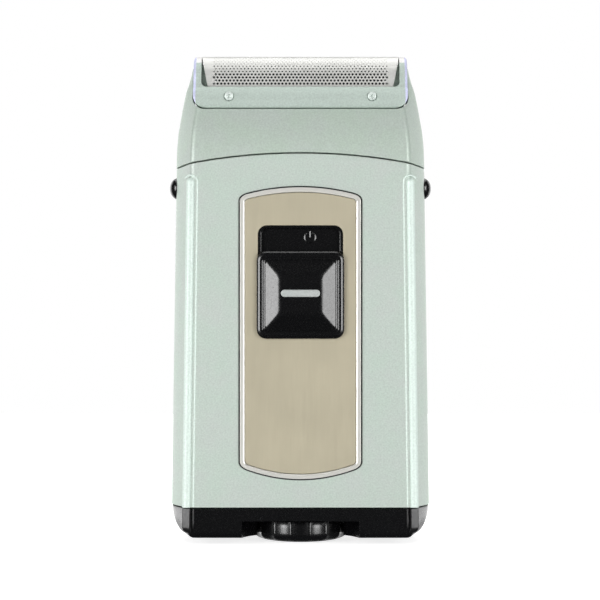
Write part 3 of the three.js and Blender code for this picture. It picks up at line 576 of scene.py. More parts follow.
def half_shell(columns):
    rows = [(inset, 0.0, drop, True) for inset, drop in reversed(arc(0.12, 3))]
    rows += [(0.0, k / 10, 0.0, True) for k in range(1, 10)]
    rows += [(inset, 1.0, -drop, True) for inset, drop in arc(0.22, 4)]
    rows += [(WALL, share, 0.0, False) for share in (1.0, 0.5, 0.0)]
    return Skin().loft(shell_rows(columns, rows), loop=False, ring=True)


# ---- outlines of the face plate and the switch
def plate_outline(inset):
    half = PLATE_HALF_W - inset
    corner = max(2 - inset, 0.6)
    inner = half - corner * 0.8

    def edge(end, tip, sign):
        """Up one side, across the arch of the foot or the top, and back along the other side."""
        arch = lambda x: end + sign * (abs(tip - end) * (1 - (x / PLATE_HALF_W) ** 2) - inset)

        def turn(side):
            start = (side * half, end - sign * (inset + corner * 0.6))
            return [start] + quad(start, (side * half, arch(half)), (side * inner, arch(inner)), 6)

        span = [sign * inner * (1 - k / 14) for k in range(1, 28)]
        return turn(sign) + [(x, arch(x)) for x in span] + turn(-sign)[::-1]

    return edge(PLATE_SIDE_LOW, PLATE_LOW, -1) + edge(PLATE_SIDE_HIGH, PLATE_HIGH, 1)


def recess_outline(inset):
    corner = max(RECESS_CORNER - inset, 0.3)
    return rounded_rect(RECESS_HALF_W - inset, RECESS_LOW + inset, RECESS_HIGH - inset, corner)


def stadium(half_run, half_height, count=12):
    ends = ((half_run, -90), (-half_run, 90))
    return [p for middle, first in ends for p in turned((middle, 0.0), half_height, first, 180, count)]


def button_tool(side):
    """The cutter of one button's opening."""
    opening = stadium(BUTTON_RUN, BUTTON_HALF_H + BUTTON_GAP)
    return Skin().loft([[(side * x, a, BUTTON_Z + b) for a, b in opening] for x in (24, 34)])


# ---- body shells
def rib_x(side, z):
    return side * FRONT_EDGE * body_half_w(z)


def add_rib(skin, side):
    """A half-round bead down the corner with a domed top, and a fine raised line round its inner side and top."""
    sides = 28
    rows = [(BODY_BOTTOM + 0.02, RIB_RADIUS)]
    rows += [(BODY_BOTTOM + (RIB_TOP - BODY_BOTTOM) * k / 10, RIB_RADIUS) for k in range(1, 11)]
    for k in range(1, 9):
        a = math.radians(88 * k / 8)
        rows.append((RIB_TOP + RIB_RADIUS * math.sin(a), RIB_RADIUS * math.cos(a)))
    skin.loft([
        [(x, y, z) for x, y in turned((rib_x(side, min(z, RIB_TOP)), RIB_Y), r, 0, 360, sides)[:-1]] for z, r in rows
    ])
    line_y = RIB_Y - LINE_OUT
    path = [(rib_x(side, z) - side * LINE_REACH, line_y, z) for z in (BODY_BOTTOM + 0.25, 30, 55, 70)]
    for k in range(15):
        a = math.radians(10 * k)
        x = rib_x(side, RIB_TOP) - side * LINE_REACH * math.cos(a)
        path.append((x, line_y + 0.12 * max(0, k - 10) / 4, RIB_TOP + LINE_REACH * math.sin(a)))
    tube(path, LINE_RADIUS, 12, skin=skin, round_ends=True)


front = half_shell(front_columns()).piece("front_shell_skin")
carve(
    front,
    slab_y(plate_outline, [(-PLATE_GAP, -BEYOND), (-PLATE_GAP, SEAT_FLOOR + 0.7)]),
    slab_y(recess_outline, [(-0.1, -BEYOND), (-0.1, -10)]),
    button_tool(-1),
    button_tool(1),
)
ribs = Skin()
add_rib(ribs, -1)
add_rib(ribs, 1)
# the ribs are part of the front shell and take a lighter copy of its paint: a painted highlight
settle(ribs.piece("front_shell_ribs"), "body", "body_paint", paint="rib_paint")

settle(front, "body", "body_paint", "front_shell")

rear = half_shell(rear_columns()).piece("rear_shell_skin")
SCREW_SEAT = [(2.6, 12.3), (2.6, 13.2), (2.85, 13.45), (2.85, 16)]
REAR_SCREWS = {n: middle_of(n)[2] for n in ("rear_screw_lower", "rear_screw_upper")}
for z in REAR_SCREWS.values():
    place = lambda a, b, h, z=z: (a, h, z + b)
    carve(rear, lathe(SCREW_SEAT, place), lathe([(1.15, 5), (1.15, 16)], place, 24))
carve(rear, button_tool(-1), button_tool(1))
settle(rear, "body", "body_paint", "rear_shell")


# ---- screws
def cross_screw(node, middle, facing, size, body, paint):
    """A pan head with a cross recess. middle is the head's underside, facing -1 looks to the front."""
    radius, depth, shank, length = size
    place = lambda a, b, h: (middle[0] + a, middle[1] + facing * h, middle[2] + b)
    dome = [(radius, 0.0), (radius, depth * 0.35), (radius * 0.97, depth * 0.55), (radius * 0.88, depth * 0.78)]
    dome += [(radius * 0.7, depth * 0.94), (radius * 0.45, depth), (radius * 0.2, depth)]
    screw = lathe([(shank, -length), (shank, 0.0)] + dome, place, 48).piece(node + "_skin")
    w, reach, floor = radius * 0.15, radius * 0.62, depth * 0.3

    def blade(turn):
        rows = [box_row(reach * s, w, h) for h, s in ((floor, 0.45), (depth + 0.3, 1.1))]
        return Skin().loft([[place(a, b, h) if turn else place(b, a, h) for a, b, h in row] for row in rows])

    carve(screw, blade(True), blade(False))
    soften(screw, radius * 0.03, 40, 1)
    settle(screw, body, "bright_steel", node, paint=paint)


for node, z in REAR_SCREWS.items():
    cross_screw(node, (0, 12.5, z), 1, (2.3, 0.9, 0.8, 3.6), "body", "bright_steel")

# ---- face plate, bezel and tray
bezel_face = arc(0.08, 5) + [(0.72, 0.0), (0.75, 0.005), (0.78, 0.017), (0.98, 0.106), (1.01, 0.17), (1.04, 0.23)]
bezel_levels = [(0.0, SEAT_FLOOR - 0.1)] + [(i, BEZEL_FACE + d) for i, d in bezel_face]
bezel_levels += [(BEZEL_WIDTH, SEAT_FLOOR - 0.1)]
bezel = slab_y(plate_outline, bezel_levels, ring=True).piece("plate_bezel_skin")
settle(bezel, "body", "chrome_trim", "plate_bezel", angle=50)
# a thin black ring set down in the gap round the bezel: painted shade, so the gap reads as a dark line
gap_shade_foot, gap_shade_face = SEAT_FLOOR - 0.05, -13.25
gap_shade_levels = [(-0.35, gap_shade_foot), (-0.35, gap_shade_face + 0.05), (-0.3, gap_shade_face)]
gap_shade_levels += [(-0.03, gap_shade_face), (-0.01, gap_shade_foot)]
settle(slab_y(plate_outline, gap_shade_levels, ring=True).piece("plate_gap_painted_shade"), "body", "rubber")

plate_inset = BEZEL_WIDTH + 0.1
plate_levels = [(plate_inset, SEAT_FLOOR - 0.1)] + [(plate_inset + i, PLATE_FACE + d) for i, d in arc(0.14, 3)]
plate = slab_y(plate_outline, plate_levels).piece("face_plate_skin")
opening = [(-0.16, -BEYOND), (-0.16, PLATE_FACE), (-0.05, PLATE_FACE + 0.03), (0.0, PLATE_FACE + 0.14), (0.0, -10)]
carve(plate, slab_y(recess_outline, opening))
settle(plate, "body", "gold_plate", "face_plate", angle=50)

tray_levels = [(0.05, -11.4), (0.05, -13.55), (0.08, -13.63), (0.16, -13.65)]
tray_levels += [(0.52, -13.65), (0.59, -13.62), (0.62, -13.55), (0.62, TRAY_FLOOR - 0.25)]
tray_levels += [(0.7, TRAY_FLOOR - 0.07), (0.87, TRAY_FLOOR)]
tray = slab_y(recess_outline, tray_levels).piece("switch_tray_skin")
carve(tray, box_skin(-2.7, 2.7, -BEYOND, 0, 53.3, 66.3))


def power_mark():
    """The generic on mark, an open ring with a bar, standing a little proud of the tray floor."""
    x, y, z, r, line = 2.2, TRAY_FLOOR + 0.06, 70.0, 1.25, 0.19
    turns = [math.radians(a) for a in range(38, 323, 12)]
    skin = tube([(x + r * math.sin(a), y, z + r * math.cos(a)) for a in turns], line, 8, round_ends=True)
    return tube([(x, y, z + 0.1), (x, y, z + r + 0.15)], line, 8, skin=skin, round_ends=True)


join(tray, power_mark().piece("mark"))
settle(tray, "body", "black_gloss", "switch_tray")


# ---- power slider
def slider_outline(half_x, half_z, corner):
    return rounded_rect(half_x, SLIDER_Z - half_z, SLIDER_Z + half_z, corner, 10)


def slider_rim(radius=0.35, faces=((54, 0.26), (66, 0.3))):
    """(inset, drop) of the rim: a rounding with a narrow flat face at each of two angles."""
    rows, inset, drop, turn = [(0.0, 0.0)], 0.0, 0.0, 0
    for angle, width in faces + ((90, 0.0),):
        while turn < angle:
            step = min(9, angle - turn)
            a = math.radians(turn + step / 2)
            length = 2 * radius * math.sin(math.radians(step / 2))
            inset += length * math.sin(a)
            drop -= length * math.cos(a)
            turn += step
            rows.append((inset, drop))
        a = math.radians(angle)
        for share in (0.12, 0.88, 1.0) if width else ():
            rows.append((inset + width * share * math.sin(a), drop - width * share * math.cos(a)))
        inset += width * math.sin(a)
        drop -= width * math.cos(a)
    return [(i, d - drop) for i, d in rows]


# (half width, distance from the rim's level) of a shallow groove and a fine raised line round the mound's foot
MOUND_FOOT = [
    (8.66, 0.05), (8.5, 0.09), (8.36, 0.05), (8.3, -0.06), (8.22, -0.1),
    (8.12, -0.06), (8.06, 0.03), (7.96, 0.04), (7.86, 0.0),
]


def slider_rows():
    """rows are (half width, half height, corner, y)."""
    back = SLIDER_HALF - 0.25
    rows = [(back, back, 1.95, SLIDER_BACK), (SLIDER_HALF, SLIDER_HALF, 2.2, SLIDER_BACK - 0.15)]
    for inset, drop in slider_rim():
        rows.append((SLIDER_HALF - inset, SLIDER_HALF - inset, 2.2 - 0.8 * inset, SLIDER_RIM + drop))
    rows.append((8.75, 8.75, 1.1, SLIDER_RIM))
    rows += [(half, half - 0.12, 0.75, SLIDER_RIM + y) for half, y in MOUND_FOOT]
    # the mound's faces, straight at first and then rounded over into its level top
    steps, straight = 16, 0.68
    for k in range(1, steps + 1):
        t = k / steps
        bend = max(0.0, t - straight)
        rise = (t - bend**2 / (2 * (1 - straight))) * 2 / (1 + straight)
        corner = 0.55 + 0.7 * t * t
        rows.append((7.86 - 3.7 * t, 7.7 - 3.9 * t, corner, SLIDER_RIM + (SLIDER_TOP - SLIDER_RIM) * rise))
    rows.append((3.9, 3.5, 1.1, SLIDER_TOP))
    return [[(x, y, z) for x, z in slider_outline(hx, hz, corner)] for hx, hz, corner, y in rows]


slider = Skin().loft(slider_rows()).piece("power_slider_skin")
seat = rounded_rect(BAR_HALF_W + 0.16, BAR_Z - BAR_HALF_H - 0.16, BAR_Z + BAR_HALF_H + 0.16, BAR_HALF_H + 0.14)
carve(slider, slab_y(lambda _: seat, [(0, -BEYOND), (0, SLIDER_TOP + 0.6)]))
stem = box_skin(-2.4, 2.4, SLIDER_BACK - 0.05, -9.4, SLIDER_Z - 3.2, SLIDER_Z + 3.2).piece("stem")
join(slider, stem)
settle(slider, "power_switch", "black_gloss", "power_slider", angle=24)


def bar_outline(inset):
    half = BAR_HALF_H - inset
    return rounded_rect(BAR_HALF_W - inset, BAR_Z - half, BAR_Z + half, max(half - 0.01, 0.05))


bar_levels = [(0.0, SLIDER_TOP + 0.5)] + [(i, SLIDER_TOP - 0.1 + d) for i, d in arc(0.22, 4)]
bar_levels += [(0.5, SLIDER_TOP - 0.13)]
bar = slab_y(bar_outline, bar_levels).piece("slider_bar_skin")
settle(bar, "power_switch", "bar_silver", "slider_bar")

# ---- head shell
# (height, half width, half depth)
HEAD_PROFILE = [
    (85, 28.93, 13.5), (88.5, 28.88, 13.45), (91.5, 28.75, 13.2), (94.5, 28.45, 12.6), (97.5, 27.95, 11.6),
    (100, 27.5, 10.6), (102.3, 27.05, 9.8), (104.3, 26.6, 8.9), (106, 26.0, 8.0), (108, 25.45, 6.9),
    (HEAD_TOP, 25.05, 5.6),
]
ARCH_LOW, ARCH_HIGH = 88, 94  # between these the head's levels turn from the seam's arch to level


def head_size(z):
    """Half width and half depth of the head at a height, on a smooth curve through its profile."""
    last = len(HEAD_PROFILE) - 2
    k = max(0, min(last, sum(1 for row in HEAD_PROFILE if row[0] <= z) - 1))
    p0, p1, p2, p3 = (HEAD_PROFILE[max(0, min(last + 1, k + i))] for i in (-1, 0, 1, 2))
    span = p2[0] - p1[0]
    t = (z - p1[0]) / span
    keep, leave, arrive = 2 * t**3 - 3 * t**2 + 1, t**3 - 2 * t**2 + t, t**3 - t**2
    sizes = []
    for c in (1, 2):
        m1 = (p2[c] - p0[c]) / max(p2[0] - p0[0], 1e-6) * span
        m2 = (p3[c] - p1[c]) / max(p3[0] - p1[0], 1e-6) * span
        sizes.append(keep * p1[c] + leave * m1 + (1 - keep) * p2[c] + arrive * m2)
    return sizes


def head_rows(levels):
    """levels are (inset, height above the seam or None, height). The first is used if it isn't None."""
    rows = []
    for inset, over, height in levels:
        row = []
        for side, x, y in ring_points(inset):
            foot = seam_height(x * HEAD_SEAM_HALF_W / BODY_HALF_W) + SEAM_DROP
            z = foot + over if over is not None else height
            if over is None and z < ARCH_HIGH:
                z = foot + (ARCH_HIGH - foot) * (z - ARCH_LOW) / (ARCH_HIGH - ARCH_LOW)
            w, d = head_size(z)
            row.append((side * x * (w - inset) / (BODY_HALF_W - inset), y * (d - inset) / (BODY_HALF_D - inset), z))
        rows.append(row)
    return rows


outer_levels = [(WALL, None, 97.2), (WALL, None, ARCH_HIGH), (WALL, 0.0, None)]
outer_levels += [(inset, drop, None) for inset, drop in reversed(arc(0.22, 4))]
outer_levels += [(0.0, None, z) for z in (89.5, 91, 92.5, 94)]
outer_levels += [(0.0, None, 95 + k) for k in range(14)]
outer_levels += [(inset, None, HEAD_TOP - drop) for inset, drop in arc(0.4, 4)]
head = Skin().loft(head_rows(outer_levels)).piece("head_shell_skin")
saddle = rounded_rect(FRAME_HALF_W + 0.15, FRAME_BOTTOM - 0.3, 130, FRAME_CORNER, 14)
carve(
    head,
    slab_y(lambda _: saddle, [(0, -BEYOND), (0, BEYOND)]),
    box_skin(-WELL_HALF_W, WELL_HALF_W, -WELL_HALF_D, WELL_HALF_D, 90, 120),
)
soften(head, 0.16, 45, 2)
# the catches' ledges and the lip round the well
inner = Skin()
for s in (-1, 1):
    box_skin(*sorted((s * 26.75, s * 27.6)), -4, 4, 87.6, 89, inner)
lip = [(WELL_HALF_W, WELL_HALF_D, 98), (22.5, 7.55, 98), (22.5, 7.55, 103.0), (22.4, 7.45, 103.2)]
inner.loft([box_row(*level) for level in lip + [(WELL_HALF_W, WELL_HALF_D, 103.2)]], ring=True)
join(head, inner.piece("head_inner"))
settle(head, "head", "head_paint", "head_shell", angle=40)


# ---- foil frame
def frame_side():
    """Half outline of the frame in YZ, from the middle of the foot round the front to the middle of the crown."""
    points = [
        (0.0, FRAME_BOTTOM), (-4.7, FRAME_BOTTOM), (-8.9, FRAME_BOTTOM), (-9.3, FRAME_BOTTOM + 0.1),
        (-FRAME_HALF_D, FRAME_BOTTOM + 0.35), (-9.33, 100.6),
    ]
    points += quad((-9.3, 101), (-9.1, 103.2), (-7.1, FRAME_FRONT_TOP), 10)
    points.append((-CROWN_RADIUS, 106.2))
    return points + turned((0.0, FRAME_TOP - CROWN_RADIUS), CROWN_RADIUS, 170, -80, 10)


def frame_outline(inset):
    """The whole outline, drawn in by inset on every side."""
    half = frame_side()
    whole = half + [(-y, z) for y, z in reversed(half[1:-1])]
    middle, reach = (FRAME_TOP + FRAME_BOTTOM) / 2, (FRAME_TOP - FRAME_BOTTOM) / 2
    return [(y * (1 - inset / FRAME_HALF_D), middle + (z - middle) * (1 - inset / reach)) for y, z in whole]


def frame_rows():
    spots = [(FRAME_HALF_W - drop, inset) for inset, drop in reversed(arc(FRAME_ROUND, 5))]
    spots += [(FRAME_HALF_W - FRAME_ROUND - (FRAME_CORNER - FRAME_ROUND) * k / 8, 0.0) for k in range(1, 9)]
    spots = [(-x, i) for x, i in spots] + [(x, i) for x, i in reversed(spots)]
    rows = []
    for x, inset in spots:
        over = max(0.0, abs(x) - (FRAME_HALF_W - FRAME_CORNER))
        foot = FRAME_BOTTOM + FRAME_CORNER - math.sqrt(max(FRAME_CORNER**2 - over**2, 0.0))
        row = []
        for y, z in frame_outline(inset):
            if z < FRAME_FRONT_TOP:
                z = foot + (z - FRAME_BOTTOM) * (FRAME_FRONT_TOP - foot) / (FRAME_FRONT_TOP - FRAME_BOTTOM)
            row.append((x, y, z))
        rows.append(row)
    return rows


foil_frame = Skin().loft(frame_rows()).piece("foil_frame_skin")
hollow = [(-7.8, 90), (7.8, 90), (7.8, 103.4), (6.3, 104.6), (6.3, 110), (-6.3, 110), (-6.3, 104.6), (-7.8, 103.4)]
carve(
    foil_frame,
    slab_y(lambda _: rounded_rect(WINDOW_HALF_W, FRAME_FRONT_TOP + 0.03, 130, 1.2), [(0, -BEYOND), (0, BEYOND)]),
    Skin().loft([[(x, y, z) for y, z in hollow] for x in (-WINDOW_HALF_W + 0.02, WINDOW_HALF_W - 0.02)]),
)
foil_screw_x, _, foil_screw_z = map(abs, middle_of("foil_screw_left"))
for s in (-1, 1):
    place = lambda a, b, h, s=s: (s * foil_screw_x + a, h, foil_screw_z + b)
    carve(foil_frame, lathe([(1.2, -12), (1.2, -8.5)], place, 32), lathe([(0.75, -12), (0.75, -6)], place, 20))
soften(foil_frame, 0.1, 40, 2)
# the inner posts at both ends of the foil
for s in (-1, 1):
    x0, x1 = sorted((s * WEB_INNER, s * (WINDOW_HALF_W + 0.3)))
    web = box_skin(x0, x1, -WEB_HALF_D, WEB_HALF_D, WEB_LOW, WEB_HIGH).piece("web")
    soften(web, 0.4, 40, 3)
    join(foil_frame, web)
# the frame's paint carries painted highlights: a cream band over the crown and lilac lines down the end edges
settle(foil_frame, "head", "head_paint", "foil_frame", paint="frame_paint", angle=40)

for s, node in ((-1, "foil_screw_left"), (1, "foil_screw_right")):
    cross_screw(node, (s * foil_screw_x, -8.6, foil_screw_z), -1, (1.05, 0.5, 0.6, 1.5), "head", "screw_satin")


# ---- shaving foil
def foil_point(u, x):
    """u is the length along the sheet from its crown, towards the front when negative."""
    radius = FOIL_RADIUS - 0.02
    quarter = radius * math.pi / 2
    if abs(u) <= quarter:
        a = u / radius
        y, z = radius * math.sin(a), FOIL_CENTRE + radius * math.cos(a)
    else:
        y, z = math.copysign(radius, u), FOIL_CENTRE - (abs(u) - quarter)
    lean = FOIL_LEAN * max(0.0, (z - FRAME_FRONT_TOP) / (FOIL_CENTRE + FOIL_RADIUS - FRAME_FRONT_TOP))
    margin = abs(x) - FOIL_FIELD
    if margin > 0:
        stretch = (FOIL_END + lean - FOIL_FIELD) / (MARGIN_STEPS * MARGIN_STEP)
        x = math.copysign(FOIL_FIELD + margin * stretch, x)
    return x, y, z


TILE = ((-1, -1), (0, -1), (1, -1), (1, 0), (1, 1), (0, 1), (-1, 1), (-1, 0))


def foil_skin():
    """An arched sheet with staggered round holes, each in its own tile of eight faces, finer over the crown."""
    half_x, half_u = FOIL_PITCH / 2, FOIL_PITCH * 0.866 / 2
    reach = FOIL_COLUMNS * 2 + 1
    edge, last = reach + MARGIN_STEPS, FOIL_ROWS * 2 + 9
    skin = Skin()
    known = {}
    taken = set()

    def vertex(i, j):
        """i counts half pitches along the sheet and j half rows round it."""
        if (i, j) not in known:
            x = i * half_x
            if abs(i) > reach:
                x = math.copysign(FOIL_FIELD + MARGIN_STEP * (abs(i) - reach), i)
            known[i, j] = skin.row([foil_point(j * half_u, x)])
        return known[i, j]

    for row in range(-FOIL_ROWS, FOIL_ROWS + 1):
        hole = 0.12 if abs(row) < 8 else 0.2 if abs(row) < 11 else 0.28
        odd = row % 2
        for column in range(-FOIL_COLUMNS, FOIL_COLUMNS + 1 - odd):
            i, j = column * 2 + odd, row * 2
            taken.update((i + a, j + b) for a in (-1, 0) for b in (-1, 0))
            ring = []
            for a, b in TILE:
                angle = math.atan2(b * half_u, a * half_x)
                u, x = j * half_u + hole * math.sin(angle), i * half_x + hole * math.cos(angle)
                ring.append(skin.row([foil_point(u, x)]))
            outer = [vertex(i + a, j + b) for a, b in TILE]
            for k in range(8):
                m = (k + 1) % 8
                skin.faces.append((outer[k], outer[m], ring[m], ring[k]))
    for i in range(-edge, edge):
        for j in range(-last, last):
            if (i, j) not in taken:
                skin.faces.append((vertex(i, j), vertex(i + 1, j), vertex(i + 1, j + 1), vertex(i, j + 1)))
    return skin


def core_row(x, radius):
    """One section of the dark core that carries the blades."""
    top = [(x, y, z) for y, z in turned((0.0, FOIL_CENTRE), radius, 0, 180, 32)]
    return [(x, radius, CORE_FOOT)] + top + [(x, -radius, CORE_FOOT)]


core_ends = [(-CORE_END, 0.3), (0.3 - CORE_END, 0), (CORE_END - 0.3, 0), (CORE_END, 0.3)]
core = Skin().loft([core_row(x, CORE_RADIUS - drop) for x, drop in core_ends])
settle(core.piece("cutter_core"), "cutter", "black_gloss", paint="black_satin")

foil = foil_skin().piece("shaving_foil_skin")
sheet = foil.modifiers.new("thickness", "SOLIDIFY")
sheet.thickness = FOIL_SHEET * MM
sheet.offset = -1
bake(foil)
settle(foil, "head", "foil_steel", "shaving_foil", angle=40)


# ---- battery cap
def cap_row(inset, z):
    """One level of the cap, drawn in towards its foot at the sides and a little underneath."""
    edge = BODY_HALF_W * FRONT_EDGE - 0.5
    keep_side = math.sqrt(max(0.0, 1 - ((CAP_TOP - z) / CAP_CORNER) ** 2))
    under = max(0.0, 1 - (z - CAP_BOTTOM) / CAP_UNDER)
    keep = 1 - (1 - math.sqrt(max(0.0, 1 - under**2))) * (CAP_UNDER / BODY_HALF_D)
    row = []
    for side, x, y in ring_points(inset):
        if x > edge:
            x = edge + (x - edge) * max(keep_side, 0.12)
        row.append((side * x * (1 - (1 - keep) * 0.5), y * keep, z))
    return row


def pin_tool(radius, low, high, y=0, segments=72):
    """An upright round cutter."""
    return lathe([(radius, low), (radius, high)], lambda a, b, h: (a, y + b, h), segments)


cap_levels = [(CAP_STEP, CAP_BOTTOM + (CAP_TOP - CAP_BOTTOM) * (k / 18) ** 1.7) for k in range(18)]
cap_levels += [(CAP_STEP + inset, CAP_TOP - drop) for inset, drop in arc(0.14, 3)]
cap = Skin().loft([cap_row(*level) for level in cap_levels]).piece("battery_cap_skin")
# the knob's pocket with a finger grip on either side, the hollow under the cells and the shaft's bore
carve(
    cap,
    pin_tool(POCKET_RADIUS, -5, POCKET_TOP),
    pin_tool(GRIP_RADIUS, -5, POCKET_TOP, -GRIP_Y, 96),
    pin_tool(GRIP_RADIUS, -5, POCKET_TOP, GRIP_Y, 96),
    box_skin(-15, 15, -9.4, 9.4, 6.8, 20),
    box_skin(-25, -14.5, -9.4, 9.4, 3.8, 20),
    box_skin(14.5, 25, -9.4, 9.4, 3.8, 20),
    pin_tool(SHAFT_BORE, 0, BEYOND, segments=40),
)
soften(cap, 0.26, 42, 3)
# the cap's ribs carry a flat on their outer side, so they catch a band of light
CAP_RIB = [
    (0.98, -0.3), (1.0, 0.0), (0.96, 0.14), (0.88, 0.21), (0.8, 0.25), (-0.62, 0.88), (-0.7, 0.91), (-0.8, 0.9),
    (-0.9, 0.8), (-0.97, 0.6), (-1.0, 0.2), (-1.0, -0.3), (-0.6, -0.9), (0.6, -0.9),
]
cap_ribs = Skin()
for s in (-1, 1):
    path = [(rib_x(s, z), RIB_Y, z) for z in (CAP_TOP, 7, 6, 5, 4)]
    line = [(x - s * LINE_REACH, y - 0.34, z) for x, y, z in path]
    line.append((line[-1][0] - s * 0.05, RIB_Y + 0.16, 3.2))
    for k in range(1, 9):
        a = math.radians(82 * k / 8)
        back = 1 - math.cos(a)
        path.append((rib_x(s, 4) - s * back, RIB_Y + 1.5 * back, 4 - 1.2 * math.sin(a)))
    sweep(path, [(s * u, v) for u, v in CAP_RIB], Vector((1, 0, 0)), cap_ribs)
    tube(line, 0.2, 12, Vector((1, 0, 0)), cap_ribs)


def body_loop(inset, z):
    shrink = (body_half_w(z) - inset) / (BODY_HALF_W - inset)
    return [(side * x * shrink, y, z) for side, x, y in ring_points(inset)]


# the wall that stands up inside the shells
wall_foot = CAP_TOP - 0.6
wall = [(CAP_WALL_IN, wall_foot), (CAP_WALL_IN, 10.3), (CAP_WALL_IN + 0.15, CAP_TONGUE_TOP)]
wall += [(CAP_TONGUE_IN, CAP_TONGUE_TOP), (CAP_TONGUE_IN, wall_foot)]
cap_extra = Skin().loft([body_loop(*level) for level in wall], ring=True)
join(cap, cap_extra.piece("cap_extra"))
settle(cap_ribs.piece("battery_cap_ribs"), "cap", "black_gloss", paint="black_satin")
settle(cap, "cap", "black_gloss", "battery_cap")


# ---- lock knob
def knob_rows():
    """levels are (height, radius, share of the flutes' depth)."""
    points = KNOB_FLUTES * 14
    levels = [
        (0.0, 7.2, 0.0), (0.03, 7.6, 0.0), (0.3, 9.1, 0.25), (0.55, 9.75, 0.45), (0.8, 10.2, 0.65),
        (1.15, 10.6, 0.85), (1.6, 10.86, 1.0), (2.2, KNOB_RADIUS, 1.0), (3.4, KNOB_RADIUS, 1.0),
        (KNOB_TOP - 0.2, KNOB_RADIUS, 1.0), (KNOB_TOP, KNOB_RADIUS - 0.2, 0.9),
    ]
    rows = []
    for z, r, share in levels:
        row = []
        for k in range(points):
            a = 2 * math.pi * k / points
            u = (KNOB_FLUTES * k / points + 0.5) % 1 * 2 - 1
            dip = FLUTE_DEPTH * (1 - u * u) * share
            row.append(((r - dip) * math.cos(a), (r - dip) * math.sin(a), z))
        rows.append(row)
    return rows


knob = Skin().loft(knob_rows()).piece("lock_knob_skin")
carve(knob, pin_tool(SHAFT_BORE, 2, BEYOND, segments=40))
settle(knob, "lock", "black_gloss", "lock_knob", angle=70)


# ---- release buttons
def release_button(side, node, body):
    """A domed cap on a bar that runs up behind the wall to its catch, with a peg for the spring."""
    start = body_half_w(BUTTON_Z) - 0.5
    levels = [(0.0, 26.0), (0.0, start)]
    for k in range(1, 9):
        a = math.radians(86 * k / 8)
        levels.append((2.2 * (1 - math.cos(a)), start + 1.9 * math.sin(a)))
    rows = []
    for inset, x in levels:
        face = stadium(BUTTON_RUN - 0.3 * inset, BUTTON_HALF_H - inset, 16)
        rows.append([(side * x, a, BUTTON_Z + b) for a, b in face])
    skin = Skin().loft(rows)
    for x0, x1, y, low, high in (
        (24.3, 26.2, 2.6, BUTTON_Z - 2.2, BUTTON_Z + 2.2),
        (24.3, 25.6, 3, BUTTON_Z - 1, 90.6),
        (25.4, 26.5, 3, 89.3, 90.6),
    ):
        box_skin(*sorted((side * x0, side * x1)), -y, y, low, high, skin)
    lathe([(0.9, 21.4), (0.9, 24.4)], lambda a, b, h: (side * h, a, BUTTON_Z + b), 24, skin)
    settle(skin.piece(node + "_skin"), body, "black_gloss", node)


release_button(-1, "release_button_left", "release_left")
release_button(1, "release_button_right", "release_right")

# ---- inner CAD nodes keep their meshes
inner_looks = {
    "chassis_grey": ("chassis", "top_deck"),
    "nylon": ("slider_carrier", "motor_end_bell", "eccentric", "drive_bridge"),
    "black_gloss": ("cutter_holder",),
    # the blades take the darkened steel, painted shade under the foil
    "blade_steel_painted_shade": ("cutter_blades",),
    "bright_steel": (
        "battery_contact_positive", "battery_contact_negative", "battery_spring", "motor_can", "rotor_shaft",
        "drive_stem", "cutter_spring", "release_spring_left", "release_spring_right", "cap_bridge_contact",
        "cap_spring", "lock_shaft",
    ),
    "brass": (
        "switch_bridge_contact", "switch_contact_left", "switch_contact_right", "motor_bearing",
        "motor_terminal_left", "motor_terminal_right",
    ),
    "cell_wrap": ("battery_left", "battery_right"),
    "board": ("switch_board",),
    "rubber": ("cap_gasket",),
    "wire_red": ("lead_positive", "lead_motor"),
    "wire_black": ("lead_negative",),
}
for slot, names in inner_looks.items():
    for name in names:
        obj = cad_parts[name]
        if not obj.material_slots:
            obj.data.materials.append(look[slot])
        for holder in obj.material_slots:
            holder.material = look[slot]
        # moulded and cut pieces get a fine broken edge
        if slot in ("chassis_grey", "nylon", "black_gloss", "board"):
            broken = obj.modifiers.new("broken_edges", "BEVEL")
            broken.width, broken.segments = 0.15 * MM, 2
            broken.limit_method, broken.angle_limit = "ANGLE", math.radians(50)

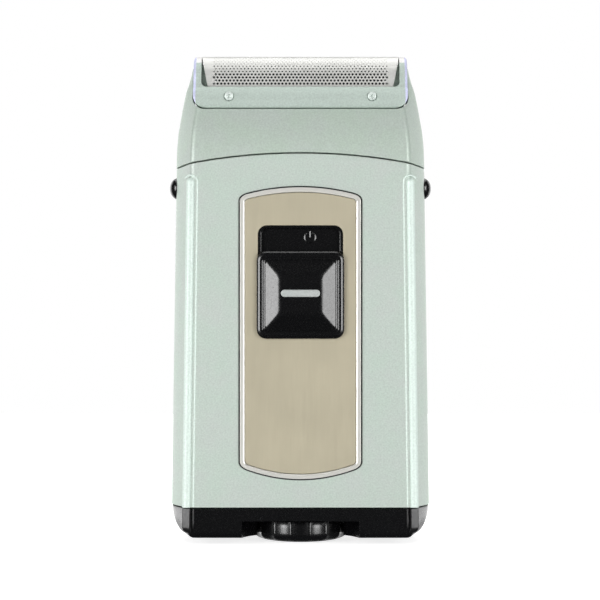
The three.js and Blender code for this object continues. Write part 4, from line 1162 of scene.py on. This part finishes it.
# ---- floor, world and lights
floor_skin = Skin()
floor_skin.row(box_row(600, 600, -0.02))
floor_skin.faces.append((0, 1, 2, 3))
floor = floor_skin.piece("floor")
floor_paint = Paint("pale_floor", roughness=0.9, specular_ior_level=0.1, emission_strength=0.78)
floor_paint.shader.inputs["Emission Color"].default_value = (1, 1, 1, 1)
floor_paint.colour(floor_paint.ramp(floor_paint.noise(30, 3), (0.3, grey(0.86)), (0.7, grey(0.9))))
floor.data.materials.append(floor_paint.material)
floor.visible_glossy = False
floor.visible_shadow = False

world = bpy.data.worlds.new("studio")
scene.world = world
world.use_nodes = True
tree = world.node_tree
tree.nodes.clear()
ray = tree.nodes.new("ShaderNodeLightPath")
either = tree.nodes.new("ShaderNodeMixShader")
result = tree.nodes.new("ShaderNodeOutputWorld")
tree.links.new(ray.outputs["Is Camera Ray"], either.inputs[0])
# a faint cool light all round, and white where the camera looks past the floor
for i, colour, strength in ((1, (0.95, 0.98, 1, 1), 0.045), (2, (1, 1, 1, 1), 1.0)):
    glow = tree.nodes.new("ShaderNodeBackground")
    glow.inputs["Color"].default_value = colour
    glow.inputs["Strength"].default_value = strength
    tree.links.new(glow.outputs[0], either.inputs[i])
tree.links.new(either.outputs[0], result.inputs["Surface"])


def softbox(name, azimuth, elevation, distance, width, height, radiance):
    """A rectangular light at an azimuth from the front, aimed at the object."""
    a, e = math.radians(azimuth), math.radians(elevation)
    aim = Vector((math.sin(a) * math.cos(e), -math.cos(a) * math.cos(e), math.sin(e)))
    light = bpy.data.lights.new(name, "AREA")
    light.shape = "RECTANGLE"
    light.size, light.size_y = width, height
    light.energy = radiance * math.pi * width * height
    obj = bpy.data.objects.new(name, light)
    obj.location = aim * distance + Vector((0, 0, 0.056))
    obj.rotation_euler = (-aim).to_track_quat("-Z", "Y").to_euler()
    obj.visible_camera = False
    scene.collection.objects.link(obj)


for light in (
    ("key_left", -48, 6, 1.0, 0.42, 0.6, 7.7),
    ("key_right", 48, 6, 1.0, 0.42, 0.6, 6.5),
    ("back_left", -148, 8, 1.0, 0.8, 0.8, 1.7),
    ("back_right", 148, 8, 1.0, 0.8, 0.8, 1.5),
    ("overhead", 180, 66, 0.9, 1.1, 0.8, 1.9),
    ("top_strip", 0, 72, 0.9, 0.7, 0.16, 2.6),
    ("low_left", -150, -22, 0.9, 0.8, 0.5, 0.85),
    ("low_right", 150, -22, 0.9, 0.8, 0.5, 0.6),
):
    softbox(*light)

scene.view_settings.view_transform = "Standard"
